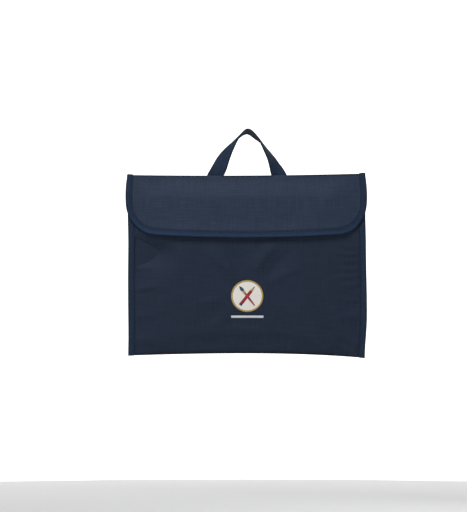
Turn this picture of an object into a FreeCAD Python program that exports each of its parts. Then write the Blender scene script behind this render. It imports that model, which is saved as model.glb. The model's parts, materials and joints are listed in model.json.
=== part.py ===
import FreeCAD
import Part

import math
import os

import Sketcher

# A flat cloth portfolio case with a fold-over flap and a webbing carrying handle.
#
# Frame: millimetres, +X to the right as the flap side is looked at, +Y to the rear, +Z up.
# The origin is under the middle of the case, level with its base fold.
#
# The shell is one long cloth, folded at the base and at the top, with its raw edges held in folded
# tape. Every layer of it is a slab between two copies of one surface, so that layers which are sewn
# together meet face to face. The copies of a surface are offset along Y, across the case.

DOC = FreeCAD.newDocument("portfolio_case")
V = FreeCAD.Vector

# ---------------------------------------------------------------- driving dimensions

DIMENSIONS = [
    # overall
    ("case_width", 400.0, "over the side bindings"),
    ("case_height", 302.0, "base fold to top fold"),
    ("centre_shift", 0.55, "moves the case along Y, so that the origin is mid-thickness"),
    # materials
    ("cloth", 0.9, "thickness of the coated shell cloth"),
    ("lining", 0.5, "thickness of the flap lining"),
    ("tape", 0.6, "thickness of the binding tape"),
    ("tape_width", 10.0, "width of the folded tape on each face"),
    ("thread", 0.3, "height that a row of stitches stands up"),
    ("thread_width", 0.6, "width of a row of stitches"),
    ("stitch_inset", 8.2, "bound edge to the row of stitches"),
    ("seam_gap", 0.6, "between front and back cloth in the side seams"),
    # shape of the body
    ("belly_front", 10.0, "how far the front stands off its seams"),
    ("belly_back", 4.0, "how far the back stands off its seams"),
    ("belly_height", 120.0, "height of the fullest point"),
    ("mouth_height", 268.6, "top edge of the front cloth"),
    ("mouth_fall", 0.08, "share of the front belly lost at the mouth"),
    ("back_flat_height", 255.0, "the back is flat above this"),
    # flap
    ("flap_width", 405.6, "at its widest"),
    ("flap_drop", 102.6, "top fold to the lowest point of the flap"),
    ("flap_wide_drop", 37.0, "top fold to the widest point"),
    ("flap_side_radius", 195.0, "of the gently bowed sides"),
    ("flap_corner_radius", 52.0, ""),
    ("flap_bow_radius", 2250.0, "of the gently bowed lower edge"),
    ("fold_radius", 2.0, "inner radius of the top fold"),
    ("flap_slack", 4.0, "flap cloth starts this far below the fold's axis"),
    ("flap_reach", 37.0, "below the fold's axis, where the flap meets the front"),
    ("fastener_room", 3.0, "front cloth to flap lining, which leaves 0.3 between the stitched strips"),
    # hook and loop fasteners
    ("fastener", 1.2, "thickness of each strip"),
    ("fastener_length", 80.0, ""),
    ("fastener_height", 20.0, ""),
    ("fastener_centre", 105.0, "middle of each strip from the middle of the case"),
    ("fastener_level", 224.0, "middle of the strips above the base"),
    # handle
    ("strap_width", 25.0, "webbing"),
    ("strap", 1.8, "thickness of the webbing"),
    ("loop_standoff", 1.0, "back cloth to the loop, where the loop passes the top fold"),
    ("end_gap", 0.3, "between the top of each sewn end and the loop"),
    ("sewn_length", 30.0, "of webbing on the back at each end"),
    ("stitch_top_drop", 8.0, "top fold to the line where the loop leaves the stitching"),
    ("handle_rise", 74.2, "top fold to the middle of the webbing at the peak"),
    ("peak_radius", 18.0, "of the webbing's middle line at the peak"),
    ("peak_slope", 52.0, "degrees, where the peak meets the legs"),
    ("leg_slope", 66.0, "degrees, where the legs pass the top fold"),
    ("peak_twist", 112.0, "degrees the webbing has turned at the peak"),
    ("twist_start", 0.1, "share of the way to the peak where the webbing starts to turn"),
    ("patch_margin", 5.0, "cloth patch beyond the webbing, inside the back"),
    ("stitch_margin", 3.0, "webbing edge to its box of stitches"),
    ("diagonal_lift", 0.08, "room under the straight diagonals of a box of stitches"),
    # badge
    ("badge_radius", 27.0, "over its border"),
    ("badge_border", 3.0, "width of the satin border"),
    ("badge_level", 97.5, "middle of the badge above the base"),
    ("badge_thread", 0.6, "height of the embroidery"),
    ("bar_length", 54.0, "plain stitched bar under the badge"),
    ("bar_height", 4.0, ""),
    ("bar_level", 62.5, ""),
]


def make_sheet():
    """The spreadsheet of driving dimensions, one row for each."""
    sheet = DOC.addObject("Spreadsheet::Sheet", "dims")
    for row, (alias, value, note) in enumerate(DIMENSIONS, start=1):
        sheet.set(f"A{row}", alias)
        sheet.set(f"B{row}", str(value))
        sheet.set(f"C{row}", note)
        sheet.setAlias(f"B{row}", alias)
    DOC.recompute()
    return sheet


SHEET = make_sheet()


def dim(alias):
    """The value of a driving dimension."""
    return float(SHEET.get(alias))


def bound(text):
    """An expression in which each driving dimension is read from the spreadsheet."""
    words = []
    for word in text.replace("(", " ( ").replace(")", " ) ").split():
        known = any(word == alias for alias, _, _ in DIMENSIONS)
        words.append("dims." + word if known else word)
    return " ".join(words)


def bind(obj, prop, text):
    """Ties one property of an object to an expression of the driving dimensions."""
    obj.setExpression(prop, bound(text))


# ---------------------------------------------------------------- shape of the cloth

HALF_OPEN = dim("case_width") / 2 - dim("tape_width")
FOLD_OUTER = dim("fold_radius") + dim("cloth")
AXIS_Y = -dim("fold_radius")
AXIS_Z = dim("case_height") - FOLD_OUTER
SIDE_POWER = 6
BASE_POWER = 2.5


def across(x):
    """Share of the belly at x: full in the middle, and nothing from the side tapes outwards."""
    u = min(abs(x) / HALF_OPEN, 1.0)
    return (1 - u**SIDE_POWER) ** 2


def up_from_base(z):
    """Share of the belly at z, from the base fold up to the fullest point."""
    v = min(z / dim("belly_height"), 1.0)
    return 1 - (1 - v) ** BASE_POWER


def front_belly(x, z):
    """How far the front cloth stands forward of its side seams."""
    past = max(0.0, z - dim("belly_height")) / (dim("mouth_height") - dim("belly_height"))
    return dim("belly_front") * across(x) * up_from_base(z) * (1 - dim("mouth_fall") * past**2)


def back_belly(x, z):
    """How far the back cloth stands behind its side seams."""
    past = max(0.0, z - dim("belly_height")) / (dim("back_flat_height") - dim("belly_height"))
    fade = (1 - min(past, 1.0) ** 2) ** 2
    return dim("belly_back") * across(x) * up_from_base(z) * fade


def ease(t):
    """0 before 0, 1 after 1, and smooth in between."""
    t = min(max(t, 0.0), 1.0)
    return t * t * (3 - 2 * t)


def front_y(x, z):
    """The inner face of the front cloth."""
    return -dim("seam_gap") - front_belly(x, z)


def back_y(x, z):
    """The inner face of the back cloth."""
    return back_belly(x, z)


def flap_y(x, z):
    """The inner face of the flap lining, which leaves the fold upright and lies over the front."""
    at_fold = AXIS_Y - dim("fold_radius") + dim("lining")
    over_front = front_y(x, z) - dim("cloth") - dim("fastener_room")
    share = ease((AXIS_Z - z) / dim("flap_reach"))
    return (1 - share) * at_fold + share * over_front


def surface(name, height, low, high, half_width, columns=41, rows=25):
    """A smooth face through a grid of points of y = height(x, z)."""
    grid = []
    for i in range(columns):
        x = half_width * (2 * i / (columns - 1) - 1)
        zs = [low + (high - low) * j / (rows - 1) for j in range(rows)]
        grid.append([V(x, height(x, z), z) for z in zs])
    spline = Part.BSplineSurface()
    spline.interpolate(grid)
    feature = DOC.addObject("Part::Feature", name)
    feature.Shape = spline.toShape()
    return feature


# ---------------------------------------------------------------- building blocks

REACH = 80.0  # length across Y of the prisms that cut layers to their outlines
PARTS = {}


def keep(label, obj):
    """Makes an object a sub-part: a label, which names its file, and its place."""
    obj.Label = label
    bind(obj, "Placement.Base.y", "centre_shift")
    PARTS[label] = obj
    return obj


def slab(name, face, near, far, forward=True):
    """The layer between two copies of a face, moved along -Y, or +Y for the back, by near and far."""
    layer = DOC.addObject("Part::Extrusion", name)
    layer.Base = face
    layer.DirMode = "Custom"
    layer.Dir = V(0, -1, 0) if forward else V(0, 1, 0)
    layer.Solid = True
    bind(layer, "LengthFwd", far)
    bind(layer, "LengthRev", f"-1 * ( {near} )")
    return layer


def block(name, left, right, low, high, front=None, back=None):
    """A box from its limits, each an expression; without front and back it runs right through."""
    box = DOC.addObject("Part::Box", name)
    bind(box, "Length", f"( {right} ) - ( {left} )")
    bind(box, "Height", f"( {high} ) - ( {low} )")
    bind(box, "Placement.Base.x", left)
    bind(box, "Placement.Base.z", low)
    if front is None:
        box.Width = 2 * REACH
        box.Placement.Base.y = -REACH
    else:
        bind(box, "Width", f"( {back} ) - ( {front} )")
        bind(box, "Placement.Base.y", front)
    return box


def common(name, first, second):
    """What two solids share."""
    made = DOC.addObject("Part::Common", name)
    made.Base = first
    made.Tool = second
    return made


def cut(name, first, second):
    """The first solid without the second."""
    made = DOC.addObject("Part::Cut", name)
    made.Base = first
    made.Tool = second
    return made


def fuse(name, *solids):
    """Several touching solids as one."""
    made = DOC.addObject("Part::MultiFuse", name)
    made.Shapes = list(solids)
    made.Refine = True
    return made


def group(name, *solids):
    """Several separate solids in one sub-part."""
    made = DOC.addObject("Part::Compound", name)
    made.Links = list(solids)
    return made


def side_view(sketch):
    """Stands a sketch in the XZ plane: its x is X and its y is Z."""
    sketch.Placement = FreeCAD.Placement(V(0, 0, 0), FreeCAD.Rotation(V(1, 0, 0), 90))


def prism(name, sketch):
    """A closed outline in the XZ plane, carried right through the case along Y."""
    made = DOC.addObject("Part::Extrusion", name)
    made.Base = sketch
    made.DirMode = "Custom"
    made.Dir = V(0, -1, 0)
    made.Solid = True
    made.LengthFwd = REACH
    made.LengthRev = REACH
    return made


def tube_arc(name, inner, outer, left, right, middle_y, middle_z, half="upper"):
    """Half a tube along X, above or below its axis: the cloth of a fold."""
    rings = []
    for part, radius in (("out", outer), ("in", inner)):
        rod = DOC.addObject("Part::Cylinder", f"{name}_{part}")
        bind(rod, "Radius", radius)
        bind(rod, "Height", f"( {right} ) - ( {left} )")
        rod.Angle = 180
        turn = FreeCAD.Rotation(V(0, 1, 0), 90)
        roll = FreeCAD.Rotation(V(1, 0, 0), 0 if half == "upper" else 180)
        side = FreeCAD.Rotation(V(0, 0, 1), 90)
        rod.Placement = FreeCAD.Placement(V(0, 0, 0), roll * turn * side)
        bind(rod, "Placement.Base.x", left)
        bind(rod, "Placement.Base.y", middle_y)
        bind(rod, "Placement.Base.z", middle_z)
        rings.append(rod)
    return cut(name, *rings)


# ---------------------------------------------------------------- outline of the flap


def circle_meeting(side, bottom, radius):
    """Centre of the corner arc that runs inside the side arc and the bottom arc."""
    (sx, sz, sr), (bx, bz, br) = side, bottom
    to_side = sr - radius
    to_bottom = br - radius
    gap = math.hypot(bx - sx, bz - sz)
    along = (to_side**2 - to_bottom**2 + gap**2) / (2 * gap)
    off = math.sqrt(to_side**2 - along**2)
    ux, uz = (bx - sx) / gap, (bz - sz) / gap
    return sx + ux * along + uz * off, sz + uz * along - ux * off


def arc(centre, radius, first, last):
    """An arc of a circle in a sketch, anticlockwise between two points on it."""
    start = math.atan2(first[1] - centre[1], first[0] - centre[0])
    end = math.atan2(last[1] - centre[1], last[0] - centre[0])
    circle = Part.Circle(V(centre[0], centre[1], 0), V(0, 0, 1), radius)
    return Part.ArcOfCircle(circle, start, end)


def on_ray(centre, through, radius):
    """The point at that radius from a centre, on the line from it through another point."""
    away = math.hypot(through[0] - centre[0], through[1] - centre[1])
    scale = radius / away
    return centre[0] + (through[0] - centre[0]) * scale, centre[1] + (through[1] - centre[1]) * scale


def flap_outline(name, inset):
    """The flap's outline, drawn in from its edge by inset: bowed sides, round corners, bowed foot."""
    margin = 0.0 if inset == "0" else sum(dim(word) for word in inset.split(" + "))
    side_r = dim("flap_side_radius") - margin
    corner_r = dim("flap_corner_radius") - margin
    foot_r = dim("flap_bow_radius") - margin
    top = AXIS_Z - dim("flap_slack")
    side_c = (dim("flap_width") / 2 - dim("flap_side_radius"), dim("case_height") - dim("flap_wide_drop"))
    foot_c = (0.0, dim("case_height") - dim("flap_drop") + dim("flap_bow_radius"))
    corner_c = circle_meeting((*side_c, side_r), (*foot_c, foot_r), corner_r)
    high = (side_c[0] + math.sqrt(side_r**2 - (top - side_c[1]) ** 2), top)
    waist = on_ray(side_c, corner_c, side_r)
    heel = on_ray(foot_c, corner_c, foot_r)

    def mirrored(point):
        return -point[0], point[1]

    sketch = DOC.addObject("Sketcher::SketchObject", name)
    side_view(sketch)
    foot, corner, side, corner_l, side_l, lid = range(6)
    sketch.addGeometry(
        [
            arc(foot_c, foot_r, mirrored(heel), heel),
            arc(corner_c, corner_r, heel, waist),
            arc(side_c, side_r, waist, high),
            arc(mirrored(corner_c), corner_r, mirrored(waist), mirrored(heel)),
            arc(mirrored(side_c), side_r, mirrored(high), mirrored(waist)),
            Part.LineSegment(V(*high, 0), V(*mirrored(high), 0)),
        ],
        False,
    )
    origin, start, end, middle = 1, 1, 2, 3
    joined = [(foot, end, corner, start), (corner, end, side, start)]
    joined += [(foot, start, corner_l, end), (corner_l, start, side_l, end)]
    for one, at, other, there in joined:
        sketch.addConstraint(Sketcher.Constraint("Tangent", one, at, other, there))
    sketch.addConstraint(Sketcher.Constraint("Coincident", side, end, lid, start))
    sketch.addConstraint(Sketcher.Constraint("Coincident", side_l, start, lid, end))
    sketch.addConstraint(Sketcher.Constraint("Horizontal", lid))
    sketch.addConstraint(Sketcher.Constraint("PointOnObject", foot, middle, -2))

    def driven(kind, *rest):
        value, text = rest[-2], rest[-1]
        number = sketch.addConstraint(Sketcher.Constraint(kind, *rest[:-2], value))
        sketch.setExpression(f"Constraints[{number}]", bound(text))

    arcs = {foot: "bow", corner: "corner", side: "side", corner_l: "corner", side_l: "side"}
    for edge, alias in arcs.items():
        radius = dim(f"flap_{alias}_radius") - margin
        driven("Radius", edge, radius, f"flap_{alias}_radius - ( {inset} )")
    sides = "flap_width / 2 - flap_side_radius"
    driven("DistanceX", -1, origin, side, middle, side_c[0], sides)
    driven("DistanceX", side_l, middle, -1, origin, side_c[0], sides)
    for edge in (side, side_l):
        driven("DistanceY", -1, origin, edge, middle, side_c[1], "case_height - flap_wide_drop")
    driven("DistanceY", -1, origin, foot, middle, foot_c[1], "case_height - flap_drop + flap_bow_radius")
    lid_text = "case_height - fold_radius - cloth - flap_slack"
    driven("DistanceY", -1, origin, lid, start, top, lid_text)
    return prism(name + "_prism", sketch)


# ---------------------------------------------------------------- sub-parts of the body

SIDE = "case_width / 2"
CLOTH_SIDE = "case_width / 2 - tape"
BASE_LEVEL = "seam_gap / 2 + cloth"
AXIS_LEVEL = "case_height - fold_radius - cloth"
FRONT = surface("front_surface", front_y, dim("seam_gap") / 2 + dim("cloth"), dim("case_height") - 20, 210)
BACK = surface("back_surface", back_y, dim("seam_gap") / 2 + dim("cloth"), AXIS_Z, 210)
FLAP = surface("flap_surface", flap_y, 190, AXIS_Z, 210)


def body_cloth():
    """The front and back of the shell, the base fold between them and the top fold."""
    front = slab("front_layer", FRONT, "0", "cloth")
    front_room = block("front_room", f"-1 * ( {CLOTH_SIDE} )", CLOTH_SIDE, BASE_LEVEL, "mouth_height")
    keep("front_panel", common("front_cloth", front, front_room))
    back = slab("back_layer", BACK, "0", "cloth", forward=False)
    back_room = block("back_room", f"-1 * ( {CLOTH_SIDE} )", CLOTH_SIDE, BASE_LEVEL, AXIS_LEVEL)
    keep("back_panel", common("back_cloth", back, back_room))
    ends = (f"-1 * ( {CLOTH_SIDE} )", CLOTH_SIDE)
    base = tube_arc("base_cloth", "seam_gap / 2", BASE_LEVEL, *ends, "-1 * seam_gap / 2", BASE_LEVEL, "lower")
    keep("base_fold", base)
    fold = tube_arc("fold_cloth", "fold_radius", "fold_radius + cloth", *ends, "-1 * fold_radius", AXIS_LEVEL)
    keep("top_fold", fold)


def channel(name, left, right, low, high, front, back, web_left):
    """A tape folded round an upright edge: a box with a slot for the cloth, open to the middle."""
    shell = block(name + "_shell", left, right, low, high, front, back)
    slot_left = f"{left} + tape" if web_left else left
    slot_right = right if web_left else f"{right} - tape"
    slot = block(name + "_slot", slot_left, slot_right, low, high, f"{front} + tape", f"{back} - tape")
    return cut(name, shell, slot)


def side_binding(side):
    """The tape of one side seam: round both cloths, the back alone above the mouth, and the fold."""
    left = side == "left"
    edges = (f"-1 * {SIDE}", f"-1 * {SIDE} + tape_width") if left else (f"{SIDE} - tape_width", SIDE)
    seam_front = "-1 * seam_gap - cloth - tape"
    seam = channel(f"{side}_seam", *edges, "0", "mouth_height + tape", seam_front, "cloth + tape", left)
    above_mouth = ("mouth_height + tape", AXIS_LEVEL, "-1 * tape", "cloth + tape")
    above = channel(f"{side}_above", *edges, *above_mouth, left)
    web = block(
        f"{side}_web",
        edges[0] if left else f"{edges[1]} - tape",
        f"{edges[0]} + tape" if left else edges[1],
        "0",
        "tape",
        seam_front,
        "cloth + tape",
    )
    over = tube_arc(
        f"{side}_over",
        "fold_radius - tape",
        "fold_radius + cloth + tape",
        *edges,
        "-1 * fold_radius",
        AXIS_LEVEL,
    )
    cloth_edges = (edges[0] + " + tape", edges[1]) if left else (edges[0], edges[1] + " - tape")
    hollow = tube_arc(
        f"{side}_hollow", "fold_radius", "fold_radius + cloth", *cloth_edges, "-1 * fold_radius", AXIS_LEVEL
    )
    fold = cut(f"{side}_fold", over, hollow)
    keep(f"{side}_side_binding", fuse(f"{side}_tape", seam, above, web, fold))


def mouth_binding():
    """The tape round the top edge of the front cloth, between the side tapes."""
    inner = f"{SIDE} - tape_width"
    around = slab("mouth_around", FRONT, "-1 * tape", "cloth + tape")
    top = "mouth_height + tape"
    band = block("mouth_band", f"-1 * ( {inner} )", inner, f"{top} - tape_width", top)
    cloth = slab("mouth_cloth", FRONT, "0", "cloth")
    below = block("mouth_below", f"-1 * ( {SIDE} )", SIDE, "0", "mouth_height")
    folded = common("mouth_strip", around, band)
    keep("mouth_binding", cut("mouth_tape", folded, common("mouth_core", cloth, below)))


def strip(name, face, near, far, left, right, low, high, forward=True):
    """A rectangle of one layer."""
    layer = slab(name + "_layer", face, near, far, forward)
    return common(name, layer, block(name + "_room", left, right, low, high))


def fastener_limits(side, margin="0"):
    """The rectangle that a hook or loop strip covers, less a margin."""
    middle = "fastener_centre" if side == "right" else "-1 * fastener_centre"
    half = f"fastener_length / 2 - {margin}"
    tall = f"fastener_height / 2 - {margin}"
    return (
        f"{middle} - ( {half} )",
        f"{middle} + {half}",
        f"fastener_level - ( {tall} )",
        f"fastener_level + {tall}",
    )


def fasteners():
    """Loop strips on the front cloth and hook strips on the flap lining, face to face."""
    for side in ("left", "right"):
        limits = fastener_limits(side)
        keep(f"loop_strip_{side}", strip(f"loop_{side}", FRONT, "cloth", "cloth + fastener", *limits))
        keep(f"hook_strip_{side}", strip(f"hook_{side}", FLAP, "-1 * fastener", "0", *limits))


# ---------------------------------------------------------------- sub-parts of the flap


def flap():
    """Shell cloth and lining of the flap, and the tape round their joint edge."""
    outer = flap_outline("flap_edge", "0")
    cloth_edge = flap_outline("flap_cloth_edge", "tape")
    tape_edge = flap_outline("flap_tape_edge", "tape_width")
    lining = slab("lining_layer", FLAP, "0", "lining")
    cloth = slab("flap_layer", FLAP, "lining", "lining + cloth")
    keep("flap_lining", common("flap_lining_cut", lining, cloth_edge))
    keep("flap_panel", common("flap_panel_cut", cloth, cloth_edge))
    around = slab("flap_around", FLAP, "-1 * tape", "lining + cloth + tape")
    ring = cut("flap_ring", common("flap_ring_outer", around, outer), tape_edge)
    both = slab("flap_both", FLAP, "0", "lining + cloth")
    keep("flap_binding", cut("flap_tape", ring, common("flap_core", both, cloth_edge)))
    row_out = flap_outline("flap_row_outer", "stitch_inset")
    row_in = flap_outline("flap_row_inner", "stitch_inset + thread_width")
    row = cut("flap_row", row_out, row_in)
    top = "lining + cloth + tape"
    face = common("flap_stitches_face", slab("flap_thread_face", FLAP, top, f"{top} + thread"), row)
    under_layer = slab("flap_thread_under", FLAP, "-1 * tape - thread", "-1 * tape")
    under = common("flap_stitches_under", under_layer, row)
    keep("flap_stitches", group("flap_thread", face, under))


# ---------------------------------------------------------------- stitches of the body


def body_stitches():
    """Rows of stitches along the side tapes and the mouth tape, on both of their faces."""
    rows = []
    inner = f"{SIDE} - stitch_inset - thread_width"
    outer = f"{SIDE} - stitch_inset"
    seam_front = "-1 * seam_gap - cloth - tape"
    for side, limits in (("left", (f"-1 * ( {outer} )", f"-1 * ( {inner} )")), ("right", (inner, outer))):
        front = (seam_front + " - thread", seam_front)
        back = ("cloth + tape", "cloth + tape + thread")
        rows.append(block(f"{side}_row_front", *limits, "tape", "mouth_height", *front))
        rows.append(block(f"{side}_row_back", *limits, "tape", AXIS_LEVEL, *back))
    keep("side_stitches", group("side_thread", *rows))
    ends = f"{SIDE} - tape_width"
    low = "mouth_height + tape - stitch_inset - thread_width"
    limits = (f"-1 * ( {ends} )", ends, low, f"{low} + thread_width")
    outside = strip("mouth_row_front", FRONT, "cloth + tape", "cloth + tape + thread", *limits)
    ends = f"{SIDE} - 2 * tape_width"
    limits = (f"-1 * ( {ends} )", ends, low, f"{low} + thread_width")
    inside = strip("mouth_row_back", FRONT, "-1 * tape - thread", "-1 * tape", *limits)
    keep("mouth_stitches", group("mouth_thread", outside, inside))


def box_of_stitches(name, face, near, far, left, right, low, high, forward=True):
    """A rectangular row of stitches: one layer inside the limits, less what is inside the row."""
    outer = strip(name + "_outer", face, near, far, left, right, low, high, forward)
    sides = (f"{left} + thread_width", f"{right} - thread_width")
    ends = (f"{low} + thread_width", f"{high} - thread_width")
    return cut(name, outer, block(name + "_inside", *sides, *ends))


def fastener_stitches():
    """A box of stitches round each loop strip and each hook strip."""
    loops = []
    hooks = []
    for side in ("left", "right"):
        limits = fastener_limits(side, "1.5")
        top = "cloth + fastener"
        under = "-1 * fastener"
        loops.append(box_of_stitches(f"loop_box_{side}", FRONT, top, f"{top} + thread / 2", *limits))
        hooks.append(box_of_stitches(f"hook_box_{side}", FLAP, f"{under} - thread / 2", under, *limits))
    keep("loop_strip_stitches", group("loop_thread", *loops))
    keep("hook_strip_stitches", group("hook_thread", *hooks))


# ---------------------------------------------------------------- handle


def handle_path():
    """Radii of the middle line below the peak: (radius, slope at its top, slope at its foot) for each arc."""
    peak, leg = dim("peak_slope"), dim("leg_slope")
    cos = [math.cos(math.radians(angle)) for angle in (peak, leg)]
    left = dim("handle_rise") - dim("peak_radius") * (1 - cos[0])
    leg_radius = left / (cos[0] - cos[1])
    root_radius = dim("stitch_top_drop") / cos[1]
    return [(dim("peak_radius"), 0.0, peak), (leg_radius, peak, leg), (root_radius, leg, 90.0)]


def handle_point(share):
    """Half-span, height and slope of the middle line, from the stitching (0) up to the peak (1)."""
    arcs = handle_path()
    lengths = [radius * math.radians(foot - top) for radius, top, foot in arcs]
    down = (1 - share) * sum(lengths)
    x, z = 0.0, dim("case_height") + dim("handle_rise")
    angle = 0.0
    for (radius, top, foot), length in zip(arcs, lengths):
        part = min(down, length)
        angle = top + math.degrees(part / radius)
        x += radius * (math.sin(math.radians(angle)) - math.sin(math.radians(top)))
        z -= radius * (math.cos(math.radians(top)) - math.cos(math.radians(angle)))
        down -= part
        if down <= 0:
            break
    return x, z, angle


SEWN_X = handle_point(0.0)[0]
LOOP_Y = dim("cloth") + dim("loop_standoff") + dim("strap") / 2
TURNING_SPANS = 7  # stretches of the loft, from where the webbing starts to turn to its peak


def webbing_section(name, share, side):
    """A sketch across the webbing: width and thickness bound, turned as the loop turns."""
    x, z, slope = handle_point(share)
    angle = math.radians(slope)
    along = V(-side * math.cos(angle), 0, math.sin(angle))
    inward = V(-side * math.sin(angle), 0, -math.cos(angle))
    turned = max(0.0, share - dim("twist_start")) / (1 - dim("twist_start"))
    twist = math.radians(dim("peak_twist") * turned)
    wide = inward * math.cos(twist) + V(0, -1, 0) * math.sin(twist)
    if side > 0:
        along = along * -1
    sketch = DOC.addObject("Sketcher::SketchObject", name)
    half, thick = dim("strap_width") / 2, dim("strap") / 2
    corners = [V(-half, -thick, 0), V(half, -thick, 0), V(half, thick, 0), V(-half, thick, 0)]
    for number in range(4):
        sketch.addGeometry(Part.LineSegment(corners[number], corners[(number + 1) % 4]), False)
    for number in range(4):
        sketch.addConstraint(Sketcher.Constraint("Coincident", number, 2, (number + 1) % 4, 1))
    for number in (0, 2):
        sketch.addConstraint(Sketcher.Constraint("Horizontal", number))
    for number in (1, 3):
        sketch.addConstraint(Sketcher.Constraint("Vertical", number))
    sketch.addConstraint(Sketcher.Constraint("Symmetric", 0, 1, 2, 1, -1, 1))
    width = sketch.addConstraint(Sketcher.Constraint("DistanceX", 0, 1, 0, 2, 2 * half))
    height = sketch.addConstraint(Sketcher.Constraint("DistanceY", 1, 1, 1, 2, 2 * thick))
    sketch.setExpression(f"Constraints[{width}]", bound("strap_width"))
    sketch.setExpression(f"Constraints[{height}]", bound("strap"))
    turn = FreeCAD.Rotation(wide, along.cross(wide), along, "ZXY")
    place = V(side * x, LOOP_Y, z)
    sketch.Placement = FreeCAD.Placement(place, turn)
    return sketch


def handle():
    """The webbing loop, its two sewn ends, the patches behind them and their boxes of stitches."""
    flat = dim("twist_start")
    shares = [0.0, flat / 2]
    shares += [flat + (1 - flat) * number / TURNING_SPANS for number in range(TURNING_SPANS + 1)]
    left = [webbing_section(f"web_left_{n}", share, -1) for n, share in enumerate(shares)]
    right = [webbing_section(f"web_right_{n}", share, 1) for n, share in enumerate(shares[:-1])]
    loop = DOC.addObject("Part::Loft", "webbing")
    loop.Sections = left + right[::-1]
    loop.Solid = True
    loop.Ruled = False
    keep("handle_loop", loop)
    boxes = []
    for side, sign in (("left", -1), ("right", 1)):
        half = "strap_width / 2"
        top = "case_height - stitch_top_drop - end_gap"
        limits = (f"{sign * SEWN_X} - {half}", f"{sign * SEWN_X} + {half}", f"{top} - sewn_length", top)
        end = strip(f"end_{side}", BACK, "cloth", "cloth + strap", *limits, forward=False)
        keep(f"handle_end_{side}", end)
        edge = "patch_margin"
        wider = (f"{limits[0]} - {edge}", f"{limits[1]} + {edge}", f"{limits[2]} - {edge}", limits[3])
        patch = strip(f"patch_{side}", BACK, "-1 * tape", "0", *wider, forward=False)
        keep(f"handle_patch_{side}", patch)
        boxes.append(cross_stitched_box(side, sign, limits))
    keep("handle_stitches", group("handle_thread", *boxes))


def cross_stitched_box(side, sign, limits):
    """A box of stitches with its two diagonals, on the outer face of a sewn webbing end."""
    margin = "stitch_margin"
    near, far = "cloth + strap", "cloth + strap + thread"
    inset = [f"{limit} {way} {margin}" for limit, way in zip(limits, "+-+-")]
    box = box_of_stitches(f"box_{side}", BACK, near, far, *inset, forward=False)
    wide = dim("strap_width") - 2 * dim("stitch_margin") - dim("thread_width")
    tall = dim("sewn_length") - 2 * dim("stitch_margin") - dim("thread_width")
    middle = dim("case_height") - dim("stitch_top_drop") - dim("end_gap") - dim("sewn_length") / 2
    lean = math.degrees(math.atan2(wide, tall))
    rows = [box]
    for number, turn in enumerate((lean, -lean)):
        bar = DOC.addObject("Part::Box", f"diagonal_{side}_{number}")
        bind(bar, "Length", "thread_width")
        bind(bar, "Width", "thread")
        bar.Height = math.hypot(wide, tall)
        rotation = FreeCAD.Rotation(V(0, 1, 0), turn)
        outer_face = dim("cloth") + dim("strap") + dim("diagonal_lift")
        corner = V(-dim("thread_width") / 2, outer_face, -math.hypot(wide, tall) / 2)
        bar.Placement = FreeCAD.Placement(V(sign * SEWN_X, 0, middle) + rotation.multVec(corner), rotation)
        rows.append(bar)
    return fuse(f"cross_{side}", *rows)


# ---------------------------------------------------------------- badge


def round_block(name, radius):
    """A cylinder along Y through the middle of the badge."""
    rod = DOC.addObject("Part::Cylinder", name)
    bind(rod, "Radius", radius)
    rod.Height = 2 * REACH
    rod.Placement = FreeCAD.Placement(V(0, REACH, 0), FreeCAD.Rotation(V(1, 0, 0), 90))
    bind(rod, "Placement.Base.z", "badge_level")
    return rod


def tool_outline(name, points, turn):
    """A prism along Y of an outline that is drawn upright and then turned about the badge's middle."""
    face = Part.Face(Part.makePolygon([V(x, REACH, z) for x, z in points + points[:1]]))
    face.rotate(V(0, 0, 0), V(0, 1, 0), turn)
    made = DOC.addObject("Part::Feature", name)
    made.Shape = face.extrude(V(0, -2 * REACH, 0))
    made.Placement = FreeCAD.Placement(V(0, 0, dim("badge_level")), FreeCAD.Rotation())
    return made


def badge():
    """A plain round badge: a ground, a satin border, a crossed pencil and brush, and a bar below."""
    inner = "badge_radius - badge_border"
    top = "cloth + badge_thread"
    ground = common("ground", slab("ground_layer", FRONT, "cloth", top), round_block("ground_round", inner))
    keep("badge_ground", ground)
    ring = cut("ring_room", round_block("ring_outer", "badge_radius"), round_block("ring_inner", inner))
    border = slab("ring_layer", FRONT, "cloth", f"{top} + badge_thread / 2")
    keep("badge_border", common("ring", border, ring))
    unit = (dim("badge_radius") - dim("badge_border")) / 10
    pencil = [(-1.1, -8), (1.1, -8), (1.1, 5.4), (0, 8.4), (-1.1, 5.4)]
    brush = [(-0.45, -8), (0.45, -8), (0.9, 3.4), (1.3, 5.2), (0, 8.4), (-1.3, 5.2), (-0.9, 3.4)]
    tools = []
    for name, outline, turn in (("pencil", pencil, 38), ("brush", brush, -38)):
        tools.append(tool_outline(name, [(x * unit, z * unit) for x, z in outline], turn))
    both = fuse("crossed_tools", *tools)
    raised = slab("motif_layer", FRONT, top, f"{top} + badge_thread / 2")
    keep("badge_motif", common("motif", raised, both))
    half = "bar_length / 2"
    bar = (f"-1 * {half}", half, "bar_level - bar_height / 2", "bar_level + bar_height / 2")
    keep("badge_bar", strip("bar", FRONT, "cloth", top, *bar))


# ---------------------------------------------------------------- build, check and write


def check_all():
    """Stops if any object failed or any sub-part is not a sound solid."""
    for obj in DOC.Objects:
        if "Invalid" in obj.State or "Error" in obj.State:
            raise RuntimeError(f"{obj.Name} failed: {obj.State}")
    for label, obj in PARTS.items():
        shape = obj.Shape
        if shape.isNull() or not shape.isValid() or not shape.Solids:
            raise RuntimeError(f"{label} has no sound shape")
        if shape.Volume <= 0:
            raise RuntimeError(f"{label} is inside out")


def write_all():
    """Writes each sub-part to parts/LABEL.step."""
    os.makedirs("parts", exist_ok=True)
    for label, obj in PARTS.items():
        obj.Shape.exportStep(os.path.join("parts", label + ".step"))


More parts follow.
